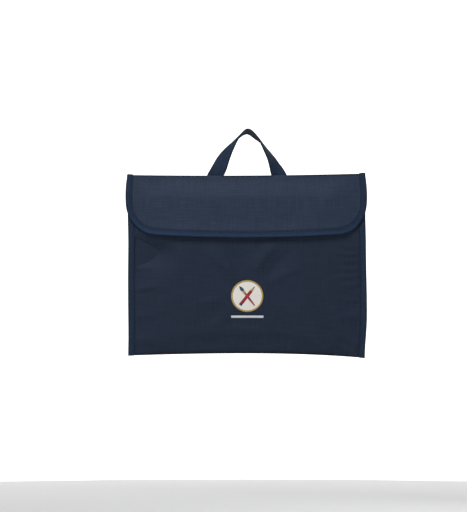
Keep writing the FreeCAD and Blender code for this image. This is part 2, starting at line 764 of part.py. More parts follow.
def main():
    body_cloth()
    for side in ("left", "right"):
        side_binding(side)
    mouth_binding()
    fasteners()
    flap()
    body_stitches()
    fastener_stitches()
    handle()
    badge()
    DOC.recompute()
    check_all()
    write_all()
    whole = Part.makeCompound([obj.Shape for obj in PARTS.values()])
    box = whole.BoundBox
    print(f"{len(PARTS)} sub-parts, x {box.XMin:.2f} {box.XMax:.2f}", end=", ")
    print(f"y {box.YMin:.2f} {box.YMax:.2f}, z {box.ZMin:.2f} {box.ZMax:.2f}")
    for label, obj in PARTS.items():
        print(f"{label:22s} {len(obj.Shape.Solids)} solid(s), {obj.Shape.Volume:10.1f} mm3")


main()
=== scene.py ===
"""The looks of a flat cloth portfolio case with a bound fold-over flap and a webbing handle.

Metres, +X to the right and -Y towards the viewer of the flap side, +Z up, as in the CAD frame.
"""

import json
import math

import bpy
import numpy as np
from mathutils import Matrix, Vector


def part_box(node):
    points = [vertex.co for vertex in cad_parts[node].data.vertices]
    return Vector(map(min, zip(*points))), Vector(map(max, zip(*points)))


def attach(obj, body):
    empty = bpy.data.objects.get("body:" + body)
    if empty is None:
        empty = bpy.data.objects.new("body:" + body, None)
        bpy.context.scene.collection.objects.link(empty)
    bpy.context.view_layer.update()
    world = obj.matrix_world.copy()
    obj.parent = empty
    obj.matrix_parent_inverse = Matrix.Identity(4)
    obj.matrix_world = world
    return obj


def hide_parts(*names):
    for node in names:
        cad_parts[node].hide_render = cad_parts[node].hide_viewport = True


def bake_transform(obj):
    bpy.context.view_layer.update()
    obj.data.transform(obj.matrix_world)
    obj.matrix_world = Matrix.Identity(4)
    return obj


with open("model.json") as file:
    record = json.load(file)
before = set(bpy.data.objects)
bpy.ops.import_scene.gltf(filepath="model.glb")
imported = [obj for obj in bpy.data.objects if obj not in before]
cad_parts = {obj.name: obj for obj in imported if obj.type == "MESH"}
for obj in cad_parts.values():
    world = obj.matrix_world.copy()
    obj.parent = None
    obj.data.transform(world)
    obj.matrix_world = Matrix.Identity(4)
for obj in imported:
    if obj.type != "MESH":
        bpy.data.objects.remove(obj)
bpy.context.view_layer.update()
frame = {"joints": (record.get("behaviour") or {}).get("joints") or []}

MM = 0.001
JOINTS = {joint["name"]: joint for joint in frame["joints"]}

# ---- places, from the frame

SIDE_LOW, SIDE_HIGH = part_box("right_side_binding")
BASE_LOW, BASE_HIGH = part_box("base_fold")
FRONT_LOW, FRONT_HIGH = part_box("front_panel")
BACK_LOW, BACK_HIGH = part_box("back_panel")
FOLD_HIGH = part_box("top_fold")[1]
FLAP_LOW, FLAP_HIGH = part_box("flap_binding")
LINING_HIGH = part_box("flap_lining")[1]
END_LOW, END_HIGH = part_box("handle_end_right")
PATCH_LOW, PATCH_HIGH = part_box("handle_patch_right")
STRIP_LOW, STRIP_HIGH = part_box("loop_strip_right")
RING_LOW, RING_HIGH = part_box("badge_border")
GROUND_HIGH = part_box("badge_ground")[1]
BAR_LOW, BAR_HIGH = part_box("badge_bar")
_, AXIS_Y, AXIS_Z = JOINTS["flap_fold"]["pos_m"]
_, PIVOT_Y, PIVOT_Z = JOINTS["handle_swing"]["pos_m"]

HALF = SIDE_HIGH[0]
TAPE_WIDTH = SIDE_HIGH[0] - SIDE_LOW[0]
OPEN_HALF = HALF - TAPE_WIDTH
CLOTH_HALF = FRONT_HIGH[0]
TAPE = HALF - CLOTH_HALF
TAPE_BULK = 1.15  # how much thicker the tape lies than its cloth
STITCH_INSET = TAPE_WIDTH - 2.1 * MM
TOP = FOLD_HIGH[2]
MOUTH = FRONT_HIGH[2]
FOLD_RADIUS = TOP - AXIS_Z
CLOTH = FOLD_RADIUS - (BACK_LOW[1] - AXIS_Y)
LINING = 0.5 * MM
FLAP_START = LINING_HIGH[2]
SEAM_FRONT = FRONT_HIGH[1] - CLOTH
FRONT_BELLY = FRONT_HIGH[1] - FRONT_LOW[1] - CLOTH
BACK_INNER = BACK_LOW[1]
BACK_BELLY = BACK_HIGH[1] - BACK_LOW[1] - CLOTH
STRAP_WIDTH = END_HIGH[0] - END_LOW[0]
STRAP = END_HIGH[1] - END_LOW[1]
SEWN_X = (END_HIGH[0] + END_LOW[0]) / 2
BADGE_Z = (RING_LOW[2] + RING_HIGH[2]) / 2
RING_OUTER = RING_HIGH[0]
RING_INNER = GROUND_HIGH[0]

# ---- shape of the cloth

FULLEST = 120 * MM  # the height at which the case is fullest
BACK_FLAT = 255 * MM  # the height from which the back is flat
MOUTH_FALL = 0.08  # the share of the belly that is gone at the mouth
SIDE_POWER = 6  # how squarely the belly falls off towards the sides
BASE_POWER = 2.5  # and towards the base
FLAP_REACH = 37 * MM  # how far below the fold's axis the flap lies fully on the front
FLAP_STANDOFF = 3 * MM + LINING + CLOTH
CREASE_DEPTH = 1.35  # how much deeper the front's creases are than the heights listed for them
CREASE_BOW = 0.03  # how far a crease bows from a straight line, as a share of its length


def ease(t):
    """0 before 0, 1 after 1, and smooth in between."""
    t = np.clip(t, 0.0, 1.0)
    return t * t * (3 - 2 * t)


def bell(t):
    """1 at 0, falling smoothly away on both sides."""
    return np.exp(-(t**2))


def ramp(value, start, width):
    """0 up to start and 1 from start + width on, both in millimetres, and smooth in between."""
    return ease((value - start * MM) / (width * MM))


def hump(value, middle, width):
    """1 where a value is at middle, falling away over width on both sides, both in millimetres."""
    return bell((value - middle * MM) / (width * MM))


def across(x):
    """Share of the belly at x: full in the middle and nothing from the side tapes outwards."""
    return (1 - np.clip(np.abs(x) / OPEN_HALF, 0, 1) ** SIDE_POWER) ** 2


def up_from_base(z):
    """Share of the belly at z, from the base fold to the fullest point."""
    return 1 - (1 - np.clip(z / FULLEST, 0, 1)) ** BASE_POWER


def fold_line(x, z, start, end, left, right, height):
    """A soft fold from start to end, in millimetres, with its own width on each side of the way it runs."""
    ax, az, bx, bz = (value * MM for value in (*start, *end))
    length = math.hypot(bx - ax, bz - az)
    ux, uz = (bx - ax) / length, (bz - az) / length
    along = ((x - ax) * ux + (z - az) * uz) / length
    off = (z - az) * ux - (x - ax) * uz - CREASE_BOW * length * np.sin(np.pi * np.clip(along, 0, 1))
    fade = ease((along + 0.2) / 0.45) * ease((1.2 - along) / 0.6)
    return height * MM * fade * bell(off / (np.where(off > 0, left, right) * MM))


FRONT_CREASES = [
    # (start, end, width to the left, width to the right, height): pull lines from the stitched badge
    ((10, 138), (52, 188), 13, 8, 2.4),
    ((32, 132), (80, 178), 8, 13, -1.6),
    ((32, 118), (100, 148), 8, 7, 1.1),
    ((-12, 140), (-36, 180), 5, 8, -1.6),
    ((-24, 134), (-66, 180), 8, 13, 1.8),
    ((-34, 96), (-100, 84), 10, 7, 1),
    ((20, 72), (54, 34), 7, 8, 1.5),
    ((34, 86), (92, 64), 7, 9, 1),
    ((-20, 74), (-66, 44), 8, 7, 1.2),
    # a slack hollow at the left seam with a crease along its foot, and smaller creases above and below it
    ((-206, 175), (-124, 168), 16, 27, -7.4),
    ((-204, 143), (-158, 144), 9, 3.5, 1.4),
    ((-196, 204), (-148, 211), 9, 5, 1.8),
    ((-196, 108), (-146, 113), 10, 4, 1.6),
    ((-196, 62), (-158, 67), 9, 5, 1.1),
    ((-196, 26), (-134, 16), 11, 7, 1.5),
    # ripples at the right seam and the lower right corner
    ((196, 180), (152, 185), 4, 3.5, 1),
    ((196, 169), (144, 173), 4, 3.5, 1.2),
    ((196, 158), (148, 160), 4, 3.5, 1),
    ((196, 147), (152, 146), 4, 3.5, 1.2),
    ((196, 136), (144, 131), 4, 3.5, 1.2),
    ((196, 124), (154, 117), 4, 4, 1),
    ((196, 98), (156, 92), 5, 4, 0.9),
    ((196, 76), (144, 62), 8, 5, 1.3),
    ((192, 14), (144, 50), 6, 4, 1.9),
    ((180, 4), (142, 26), 5, 3.5, 1.4),
    # a long slack roll above the base
    ((-140, 30), (150, 26), 13, 8, 1.3),
]

FLAP_CREASES = [
    ((-60, 300), (-24, 212), 16, 10, -1.4),
    ((-112, 300), (-78, 220), 14, 20, 1.3),
    ((60, 302), (134, 270), 10, 7, -1.5),
    ((50, 296), (84, 232), 12, 18, 1.2),
    ((150, 298), (126, 226), 12, 18, 1),
    ((-172, 292), (-152, 226), 10, 14, 1.1),
    ((12, 286), (20, 218), 14, 14, 0.9),
]


def undulation(x, z, seed):
    """A gentle unevenness of a few tenths of a millimetre, of no particular direction."""
    total = 0.0
    for number in range(1, 6):
        angle = seed + 2.4 * number
        pitch = (150 - 21 * number) * MM
        phase = (x * math.cos(angle) + z * math.sin(angle)) / pitch * 2 * math.pi
        total = total + np.sin(phase + 1.7 * number * seed) / number
    return 0.35 * MM * total


def pucker(x, z, seed):
    """Small gathers where the cloth goes into a side seam."""
    inward = np.clip((OPEN_HALF + 1 * MM - np.abs(x)) / (9 * MM), 0, 6)
    phase = z / (13 * MM) * 2 * math.pi + 1.3 * np.sin(z / (37 * MM) + seed) + np.sign(x) * seed
    uneven = 0.55 + 0.45 * np.sin(z / (61 * MM) + 2 * seed + np.sign(x))
    return 0.45 * MM * uneven * np.sin(phase) * np.exp(-inward) * ramp(OPEN_HALF - np.abs(x), 0, 4)


def badge_calm(x, z):
    """0 under the badge and its bar, whose stitches hold the cloth flat, and 1 away from them."""
    reach = np.hypot(x, z - BADGE_Z) / (RING_OUTER + 8 * MM)
    bar = np.hypot(x / (BAR_HIGH[0] + 6 * MM), (z - BAR_LOW[2]) / (14 * MM))
    return ease((reach - 0.75) / 0.6) * ease((bar - 0.7) / 0.7)


def front_belly(x, z):
    """How far the front stands off its side seams."""
    past = np.clip((z - FULLEST) / (MOUTH - FULLEST), 0, None)
    return FRONT_BELLY * across(x) * up_from_base(z) * (1 - MOUTH_FALL * past**2)


def front_y(x, z):
    """The outer face of the front cloth."""
    loose = undulation(x, z, 1.0) + CREASE_DEPTH * sum(fold_line(x, z, *crease) for crease in FRONT_CREASES)
    held = ramp(OPEN_HALF - np.abs(x), 0, 6) * ramp(z, 2, 14) * badge_calm(x, z)
    under_flap = 1 - 0.8 * ramp(z, 190, 30)
    return SEAM_FRONT - front_belly(x, z) - loose * held * under_flap - pucker(x, z, 0.4) * ramp(z, 0, 20)


def on_face(x, z, height, face=front_y):
    """Points laid on a face y = face(x, z), in front of it by height."""
    return joined(x, face(x, z) - height, z)


def back_y(x, z):
    """The outer face of the back cloth."""
    past = np.clip((z - FULLEST) / (BACK_FLAT - FULLEST), 0, 1)
    belly = BACK_BELLY * across(x) * up_from_base(z) * (1 - past**2) ** 2
    held = ramp(OPEN_HALF - np.abs(x), 0, 14) * ramp(z, 0, 16) * ramp(TOP - 4 * MM - z, 0, 30)
    loose = 1.3 * undulation(x, z, 2.3) * (1 - 0.85 * ramp(z, 240, 20))
    return BACK_INNER + CLOTH + belly + (loose + pucker(x, z, 1.9) * ramp(z, 0, 20)) * held


def flap_y(x, z):
    """The outer face of the flap cloth below the fold."""
    over = SEAM_FRONT - front_belly(x, z) - FLAP_STANDOFF
    share = ease((AXIS_Z - z) / FLAP_REACH)
    loose = undulation(x, z, 3.1) + sum(fold_line(x, z, *crease) for crease in FLAP_CREASES)
    held = ramp(AXIS_Z - z, 0, 26) * ramp(1.02 * HALF - np.abs(x), 0, 22)
    edge_lift = 3 * MM * ramp(AXIS_Z - z, 72, 30) * across(x * 0.93)
    return (1 - share) * (AXIS_Y - FOLD_RADIUS) + share * over - loose * held - edge_lift


def right_lean(z):
    """How far the right side stands out: full low down, and pulled in at the base and below the flap."""
    full = 1.65 * hump(z, 85, 70)
    return (full - 2.6 * (1 - ramp(z, 0, 70)) - 1.2 * ramp(z, 185, 55)) * MM


def left_lean(z):
    """How far the left side stands out: leaning out to the top, and out a little at the base."""
    dent = 0.6 * hump(z, 190, 38)
    return (2.4 * (z / TOP) ** 2 - dent + 0.6 * (1 - ramp(z, 0, 34))) * MM


def hang(points):
    """The slack shape in which the case hangs: both long edges bow, and its right end is a little deeper."""
    points = np.array(points, float)
    x, z = points[..., 0] / HALF, np.clip(points[..., 2], 0, TOP)
    top = (1.2 * x + 2.2 * x**2) * MM
    base = (2.75 - 0.4 * x - 5.7 * x**2 - 1.6 * x**3) * MM
    points[..., 2] += base + (top - base) * z / TOP
    points[..., 0] += right_lean(z) * np.clip(x, 0, 1) - left_lean(z) * np.clip(-x, 0, 1)
    return points


# ---- mesh building


def joined(*values):
    """Coordinates of any shapes, brought to one shape and joined along a new last axis."""
    return np.stack(np.broadcast_arrays(*values), axis=-1)


def add_object(name, data):
    """An object for a mesh, a light or a camera, linked into the scene."""
    made = bpy.data.objects.new(name, data)
    bpy.context.scene.collection.objects.link(made)
    return made


def finish_mesh(name, vertices, faces, uvs, wear=0.0, shade=0.0, smooth=True):
    """A mesh object with its cloth coordinates in metres as UVs, and its wear, in places with a painted
    highlight, and its painted shade as attributes.
    """
    mesh = bpy.data.meshes.new(name)
    mesh.from_pydata([tuple(v) for v in vertices], [], [tuple(int(i) for i in f) for f in faces])
    corners = np.empty(len(mesh.loops), int)
    mesh.loops.foreach_get("vertex_index", corners)
    mesh.uv_layers.new(name="UVMap").data.foreach_set("uv", np.asarray(uvs, np.float32)[corners].ravel())
    for label, values in (("wear", wear), ("shade", shade)):
        attribute = mesh.attributes.new(label, "FLOAT", "POINT")
        values = np.broadcast_to(np.asarray(values, np.float32).ravel(), len(vertices))
        attribute.data.foreach_set("value", np.ascontiguousarray(values))
    mesh.polygons.foreach_set("use_smooth", [smooth] * len(mesh.polygons))
    mesh.validate()
    mesh.update()
    return add_object(name, mesh)


def grid_faces(rows, columns, wrap=False, first=0):
    """Quads over a grid of rows by columns points, whose last column may join its first."""
    found = []
    for row in range(rows - 1):
        for column in range(columns if wrap else columns - 1):
            after = (column + 1) % columns
            a, b = row * columns + column, row * columns + after
            found.append((first + a, first + b, first + b + columns, first + a + columns))
    return found


def sheet_piece(name, points, uvs, thickness, wear=0.0, shade=0.0):
    """A sheet of cloth from a grid of points on its outer face, hung, and thickened on its inner side."""
    faces = [face[::-1] for face in grid_faces(*points.shape[:2])]
    piece = finish_mesh(name, hang(points).reshape(-1, 3), faces, uvs.reshape(-1, 2), wear, shade)
    solid = piece.modifiers.new("thickness", "SOLIDIFY")
    solid.thickness = thickness
    solid.offset = -1.0
    solid.use_even_offset = False
    bpy.context.view_layer.objects.active = piece
    bpy.ops.object.modifier_apply(modifier=solid.name)
    return piece


def swept_piece(name, rings, along, wear=0.0, shade=0.0):
    """A closed profile carried along a path, hung: rings is stations by profile points by 3."""
    rings = hang(rings)
    stations, around = rings.shape[:2]
    steps = np.linalg.norm(np.diff(rings, axis=1, append=rings[:, :1]), axis=2)
    girth = np.cumsum(steps, axis=1) - steps
    faces = grid_faces(stations, around, wrap=True)
    faces.append(tuple(range(around))[::-1])
    faces.append(tuple((stations - 1) * around + i for i in range(around)))
    if inside_out(rings):
        faces = [face[::-1] for face in faces]
    uvs = joined(girth, along[:, None]).reshape(-1, 2)
    return finish_mesh(name, rings.reshape(-1, 3), faces, uvs, wear, shade)


def inside_out(rings):
    """Whether the faces over a closed profile's rings would face into it, judged at its middle station."""
    ring = rings[len(rings) // 2]
    ahead = rings[len(rings) // 2 + 1].mean(axis=0) - ring.mean(axis=0)
    turn = np.cross(ring, np.roll(ring, -1, axis=0)).sum(axis=0)
    return float(np.dot(turn, ahead)) < 0


def path_length(points):
    """Distance along a path to each of its points."""
    return np.concatenate([[0.0], np.cumsum(np.linalg.norm(np.diff(points, axis=0), axis=1))])


def at_length(path, length, distance):
    """The point or points of a path at a distance along it, or at several."""
    return joined(*(np.interp(distance, length, values) for values in path.T))


def resampled(points, spacing):
    """A path's points at even spacing, near the one asked for, and how far along each one is."""
    length = path_length(points)
    along = np.linspace(0, length[-1], max(2, int(round(length[-1] / spacing)) + 1))
    return at_length(points, length, along), along


def directions(path):
    """The unit direction of a path at each of its points."""
    forward = np.gradient(path, axis=0)
    return forward / np.linalg.norm(forward, axis=1, keepdims=True)


def smooth_through(points, per_span=12):
    """A Catmull-Rom curve through points of any dimension."""
    points = np.asarray(points, float)
    padded = np.vstack([2 * points[0] - points[1], points, 2 * points[-1] - points[-2]])
    t = np.linspace(0, 1, per_span, endpoint=False)[:, None]
    spans = []
    for a, b, c, d in zip(padded, padded[1:], padded[2:], padded[3:]):
        cubic = 3 * b - a - 3 * c + d
        spans.append(b + 0.5 * t * (c - a) + t * t * (a - 2.5 * b + 2 * c - 0.5 * d) + 0.5 * t**3 * cubic)
    return np.vstack([*spans, points[-1:]])


# ---- outline of the flap

FLAP_HALF = FLAP_HIGH[0]
FLAP_FOOT = FLAP_LOW[2]
WIDE_Z = TOP - 37 * MM
SIDE_ARC = 195 * MM
CORNER_ARC = 52 * MM
FOOT_ARC = 2250 * MM
SIDE_CENTRE = np.array([FLAP_HALF - SIDE_ARC, WIDE_Z])
FOOT_CENTRE = np.array([0.0, FLAP_FOOT + FOOT_ARC])


def flap_half_width(z):
    """Half the width at z of the flap's cloth, which ends a tape's thickness inside the outline."""
    return SIDE_CENTRE[0] + np.sqrt((SIDE_ARC - TAPE) ** 2 - (z - WIDE_Z) ** 2)


def corner_centre():
    """The centre of the corner arc that touches the side arc and the foot arc from inside."""
    reach_side, reach_foot = SIDE_ARC - CORNER_ARC, FOOT_ARC - CORNER_ARC
    gap = FOOT_CENTRE - SIDE_CENTRE
    distance = np.hypot(*gap)
    along = (reach_side**2 - reach_foot**2 + distance**2) / (2 * distance)
    unit = gap / distance
    return SIDE_CENTRE + unit * along + np.array([unit[1], -unit[0]]) * math.sqrt(reach_side**2 - along**2)


CORNER = corner_centre()


def arc_points(centre, radius, first, last, count):
    """Points on an arc, by its angles."""
    turn = np.linspace(first, last, count)
    return centre + radius * joined(np.cos(turn), np.sin(turn))


def flap_edge():
    """The flap's outline from its top right, round its foot, to its top left."""
    start = math.asin((AXIS_Z - WIDE_Z) / SIDE_ARC)
    waist = math.atan2(*(CORNER - SIDE_CENTRE)[::-1])
    heel = math.atan2(*(CORNER - FOOT_CENTRE)[::-1])
    right = np.vstack([
        arc_points(SIDE_CENTRE, SIDE_ARC, start, waist, 40)[:-1],
        arc_points(CORNER, CORNER_ARC, waist, heel, 40)[:-1],
        arc_points(FOOT_CENTRE, FOOT_ARC, heel, -math.pi / 2, 60),
    ])
    return np.vstack([right, right[::-1][1:] * [-1, 1]])


def flap_bottom(u):
    """The lowest z of the flap cloth on the line that stays at share u of its half width."""
    low, high = np.full_like(u, FLAP_FOOT), np.full_like(u, WIDE_Z)
    for _ in range(40):
        middle = (low + high) / 2
        x = np.abs(u) * flap_half_width(middle)
        in_foot = np.hypot(x, middle - FOOT_CENTRE[1]) < FOOT_ARC - TAPE
        in_corner = np.hypot(x - CORNER[0], middle - CORNER[1]) < CORNER_ARC - TAPE
        inside = in_foot & (in_corner | (x < CORNER[0]) | (middle > CORNER[1]))
        high = np.where(inside, middle, high)
        low = np.where(inside, low, middle)
    return (low + high) / 2


QUARTER = math.pi / 2 * FOLD_RADIUS
FLAP_STRETCH = 1.027  # the cloth of the flap hangs a little below its drawn outline


def flap_point(x, down, height=0.0):
    """A point at a height above the flap cloth, by the distance down from the crest of the fold."""
    turn = np.clip(down / FOLD_RADIUS, 0, math.pi / 2)
    z_below = AXIS_Z - np.clip(down - QUARTER, 0, None) * FLAP_STRETCH
    on_fold = down < QUARTER
    y = np.where(on_fold, AXIS_Y - (FOLD_RADIUS + height) * np.sin(turn), flap_y(x, z_below) - height)
    z = np.where(on_fold, AXIS_Z + (FOLD_RADIUS + height) * np.cos(turn), z_below)
    return joined(x, y, z)


# ---- cloth pieces

CELL = 2 * MM  # the spacing of the cloths' points


def shell_rows(xs):
    """Rows of points from the mouth down, round the base, and up to the crest of the top fold."""
    middle_y, radius = (BASE_LOW[1] + BASE_HIGH[1]) / 2, (BASE_HIGH[1] - BASE_LOW[1]) / 2
    for z in np.linspace(MOUTH, radius, 112):
        yield joined(xs, front_y(xs, z), z)
    for turn in np.linspace(0, math.pi, 9)[1:-1]:
        yield joined(xs, middle_y - radius * math.cos(turn), radius - radius * math.sin(turn))
    for z in np.linspace(radius, AXIS_Z, 124):
        yield joined(xs, back_y(xs, z), z)
    for turn in np.linspace(0, math.pi / 2, 7)[1:]:
        yield joined(xs, AXIS_Y + FOLD_RADIUS * math.cos(turn), AXIS_Z + FOLD_RADIUS * math.sin(turn))


def shell():
    """The front, the base fold and the back up to the crest of the top fold, as the one cloth it is."""
    xs = np.linspace(-CLOTH_HALF, CLOTH_HALF, int(2 * CLOTH_HALF / CELL) + 1)
    points = np.array(list(shell_rows(xs)))
    down = path_length(points[:, len(xs) // 2])
    x, z = np.abs(points[..., 0]), points[..., 2]
    low = 1 - ramp(z, 0, 8)
    wear = 0.1 * low + 0.4 * low * ramp(x, 150, 40)
    # painted shade: a dark line along the base fold and along the crest of the top fold, with a painted
    # shadow beside the side tapes
    shade = np.clip(0.9 * low + 0.6 * ramp(z - TOP, -3, 3) + tape_edge_shadow(HALF - x), 0, 1)
    return sheet_piece("shell_cloth", points, joined(xs, down[:, None]), CLOTH, wear, shade)


def flap_rows(first, height, rows):
    """A grid over the flap, from a distance below the crest to its foot, at a height above its face."""
    u = np.linspace(-1, 1, int(2 * FLAP_HALF / CELL) + 1)
    foot = AXIS_Z - flap_bottom(u) + QUARTER
    down = first + (foot - first) * np.linspace(0, 1, rows)[:, None]
    x = u * flap_half_width(AXIS_Z - np.clip(down - QUARTER, 0, None))
    return flap_point(x, down, height), joined(x, down)


def flap_cloth():
    """The outer cloth of the flap, from the crest of the fold to inside its binding."""
    points, uvs = flap_rows(0.0, 0.0, 84)
    x, down = uvs[..., 0], uvs[..., 1]
    crest = 1 - ramp(down, 2.2, 3)
    beside_strap = ramp(np.abs(np.abs(x) - SEWN_X), 11, 4)
    wear = 0.4 * ramp(np.abs(x), 170, 30) * crest
    inset = np.full(x.shape, 1.0)
    for edge_x, edge_z in flap_edge()[::3]:
        inset = np.minimum(inset, np.hypot(x - edge_x, AXIS_Z + QUARTER - down - edge_z))
    # painted shade: a dark line along the crest of the fold, left out beside the handle's legs, with a
    # painted shadow beside the binding tape
    shade = np.clip(0.95 * crest * beside_strap + tape_edge_shadow(inset), 0, 1)
    return sheet_piece("flap_cloth", points, uvs, CLOTH, wear, shade)


def flap_lining():
    """The lining of the flap, sewn into the same binding."""
    points, uvs = flap_rows(QUARTER + AXIS_Z - FLAP_START, -CLOTH - 0.02 * MM, 60)
    return sheet_piece("flap_lining_cloth", points, uvs, LINING)


# ---- binding tape


def tape_profile(outer, inner):
    """Inset and height of a tape folded round an edge, closed: outer and inner are the two cloth faces."""
    w, t = TAPE_WIDTH, TAPE * TAPE_BULK
    middle = (outer + inner) / 2
    face = [
        # how far in from the edge, and how far off the cloth in thicknesses of tape
        (w + 0.05 * MM, 0.45),
        (w - 0.25 * MM, 1.0),
        (w - 1.1 * MM, 1.05),
        (w - 1.65 * MM, 0.65),
        (w - 2.1 * MM, 0.55),
        (w - 2.55 * MM, 0.7),
        (w - 3.4 * MM, 1.02),
        (w * 0.5, 1.12),
        (w * 0.22, 1.1),
        (w * 0.08, 0.7),
    ]
    turned_in, rounding = 0.02 * MM, 0.12 * MM
    front = [(w, outer + turned_in)] + [(inset, outer + off * t) for inset, off in face]
    back = [(w, inner - turned_in)] + [(inset, inner - off * t) for inset, off in face]
    front.append((rounding, (outer * 2 + middle) / 3))
    back.append((rounding, (inner * 2 + middle) / 3))
    return np.array([*front, (0.0, middle), *back[::-1], (w * 0.5, middle)])


def tape_wear(profile, stations, seed):
    """Wear on the folded edge of a tape, uneven along it."""
    edge = 1 - ramp(profile[:, 0], 0, 2.2)
    number = np.arange(stations)[:, None]
    return np.clip(0.25 + 0.25 * np.sin(number * 0.21 + seed) + 0.15 * np.sin(number * 0.73), 0, 1) * edge


def tape_shade(profile, rim_share):
    """Painted shade across a tape: in the furrow of its stitches, and on as much of its folded edge as is
    told.
    """
    furrow = hump(profile[:, 0] - STITCH_INSET, 0, 1)
    rim = 1 - ramp(profile[:, 0], 0.8, 1.8)
    return np.clip(0.42 * furrow + 0.85 * rim * rim_share[:, None], 0, 1)


def tape_edge_shadow(inset):
    """A painted shadow on the cloth along a tape's inner edge, by the distance from the bound edge."""
    return 0.65 * hump(inset - TAPE_WIDTH, 0.2, 1.1)


def side_tape_x(profile, z, sign):
    """The x of each point across a side tape, whose edge is a little uneven."""
    return sign * (HALF - profile[:, 0] + 0.25 * MM * math.sin(z / (41 * MM) + sign))


def side_tape(side, sign):
    """The tape of one side seam, from the base up to the crest of the top fold."""
    rings = []
    for z in np.linspace(-0.4 * MM, AXIS_Z, 130):
        closed = 1 - ramp(z - MOUTH, 0, 7)
        profile = tape_profile(0.0, -CLOTH - closed * (BACK_INNER - SEAM_FRONT))
        rings.append(joined(side_tape_x(profile, z, sign), BACK_INNER + CLOTH + profile[:, 1], z))
    profile = tape_profile(0.0, -CLOTH)
    for turn in np.linspace(0, math.pi / 2, 8)[1:]:
        swell = 0.7 * MM * math.sin(turn) ** 2
        reach = FOLD_RADIUS + profile[:, 1] + np.where(profile[:, 1] > 0, swell, 0)
        y, z = AXIS_Y + reach * math.cos(turn), AXIS_Z + reach * math.sin(turn)
        rings.append(joined(side_tape_x(profile, AXIS_Z, sign), y, z))
    rings = np.array(rings)
    wear = 0.3 * tape_wear(profile, len(rings), 1.0 + sign)
    # painted shade in the stitch furrow and on the folded rim
    shade = tape_shade(profile, np.ones(len(rings)))
    return swept_piece(f"{side}_side_tape", rings, path_length(rings[:, 5]), wear, shade)


def flap_stations(inset=0.0):
    """Points of the flap's edge as (x, distance down from the crest), with the way inwards at each."""
    edge = flap_edge()
    right = joined(edge[0, 0], np.linspace(0, QUARTER, 6)[:-1])
    line = np.vstack([right, joined(edge[:, 0], AXIS_Z - edge[:, 1] + QUARTER), (right * [-1, 1])[::-1]])
    line, along = resampled(line, CELL)
    forward = directions(line)
    inward = joined(-forward[:, 1], forward[:, 0])
    inward *= -np.sign(np.sum(inward * (line - [0, 50 * MM]), axis=1, keepdims=True))
    return line + inward * inset, inward, along


def flap_tape():
    """The tape round the flap, from the crest of the fold at one end, round the foot, to the other."""
    line, inward, along = flap_stations()
    profile = tape_profile(0.0, -CLOTH - LINING)
    inset, height = profile.T
    at = line[:, None, :] + inward[:, None, :] * inset[:, None]
    lift = np.where(height > 0, 0.7 * MM, 0.0) * hump(np.minimum(along, along[-1] - along), 0, 3)[:, None]
    wave = 0.12 * MM * np.sin(along / (9 * MM))[:, None] * np.exp(-inset / (20 * MM))
    rings = flap_point(at[..., 0], at[..., 1], height + lift + wave)
    foot = ramp(line[:, 1], 70, 26)
    # the foot's rim is lightened through the wear attribute: partly wear, partly a painted highlight where
    # the edge catches the light
    worn_and_lit_rim = foot[:, None] * (1 - ramp(inset, 3.5, 3))
    wear = np.clip(tape_wear(profile, len(rings), 0.3) + worn_and_lit_rim, 0, 1)
    # painted shade in the stitch furrow, and on the folded rim except at the foot
    return swept_piece("flap_tape", rings, along, wear, tape_shade(profile, 1 - foot))


def mouth_tape():
    """The tape round the top edge of the front cloth."""
    xs = np.linspace(-OPEN_HALF, OPEN_HALF, 190)
    profile = tape_profile(0.0, -CLOTH)
    x, z = xs[:, None], MOUTH + TAPE - profile[:, 0]
    rings = joined(x, front_y(x, np.minimum(z, MOUTH)) - profile[:, 1], z)
    # painted shade in the stitch furrow
    wear, shade = tape_wear(profile, len(xs), 2.0), tape_shade(profile, np.zeros(len(xs)))
    return swept_piece("mouth_tape", rings, xs - xs[0], wear, shade)


# ---- pieces that come in pairs

SIDES = (("left", -1), ("right", 1))


def side_span(sign, low, high):
    """The two x of a piece on either side, in rising order, from those of the right one."""
    return sorted((sign * low, sign * high))


def side_grid(sign, low, high, columns, rows):
    """The x and z of a grid over a flat piece on either side, from its top row down."""
    xs = np.linspace(*side_span(sign, low[0], high[0]), columns)
    return np.meshgrid(xs, np.linspace(high[2], low[2], rows))


# ---- stitches

STITCH = 2.9 * MM
STITCH_GAP = 0.7 * MM


def stitch_shape():
    """One stitch as rings of points: along, across and up, for a length and width of one."""
    along = np.linspace(-0.5, 0.5, 7)[:, None]
    fat = np.maximum(0.12, 1 - (2 * along) ** 4) ** 0.5
    turn = np.linspace(0, 2 * math.pi, 6, endpoint=False)
    return joined(along, 0.5 * fat * np.cos(turn), 0.36 * fat * np.sin(turn) - 0.25 * (2 * along) ** 2)


STITCH_POINTS = stitch_shape().reshape(-1, 3)
STITCH_FACES = grid_faces(7, 6, wrap=True) + [(5, 4, 3, 2, 1, 0), (36, 37, 38, 39, 40, 41)]


def stitches(name, rows, width=0.62 * MM):
    """Separate stitches along rows, each a path on the cloth with the way out of the cloth at each point."""
    vertices, faces, uvs = [], [], []
    along, across_it, up_it = STITCH_POINTS.T[:, :, None]
    for path, out in rows:
        length = path_length(path)
        count = max(1, int(length[-1] / STITCH))
        for number in range(count):
            middle = (number + 0.5) * length[-1] / count
            reach = (STITCH - STITCH_GAP) / 2
            a, b = (at_length(path, length, middle + way * reach) for way in (-1, 1))
            up = at_length(out, length, middle)
            side = np.cross(up, b - a)
            side /= np.linalg.norm(side)
            lean = 0.10 * width * math.sin(2.1 * number)
            body = (a + b) / 2 + along * (b - a) + side * (lean + across_it * width)
            body = body + (up_it + 0.18) * width * up
            faces += [tuple(len(vertices) + i for i in face) for face in STITCH_FACES]
            vertices += list(body)
            uvs += list(np.hstack([across_it * width + number * 0.01, along * STITCH]))
    return finish_mesh(name, hang(vertices), faces, uvs)


def facing(path, y_sign):
    """A path with the same way out of the cloth, forwards or backwards, all along it."""
    return path, np.repeat([[0.0, y_sign, 0.0]], len(path), axis=0)


TAPE_SKIN = 0.55 * TAPE_BULK * TAPE  # the height of a tape's furrow above the cloth


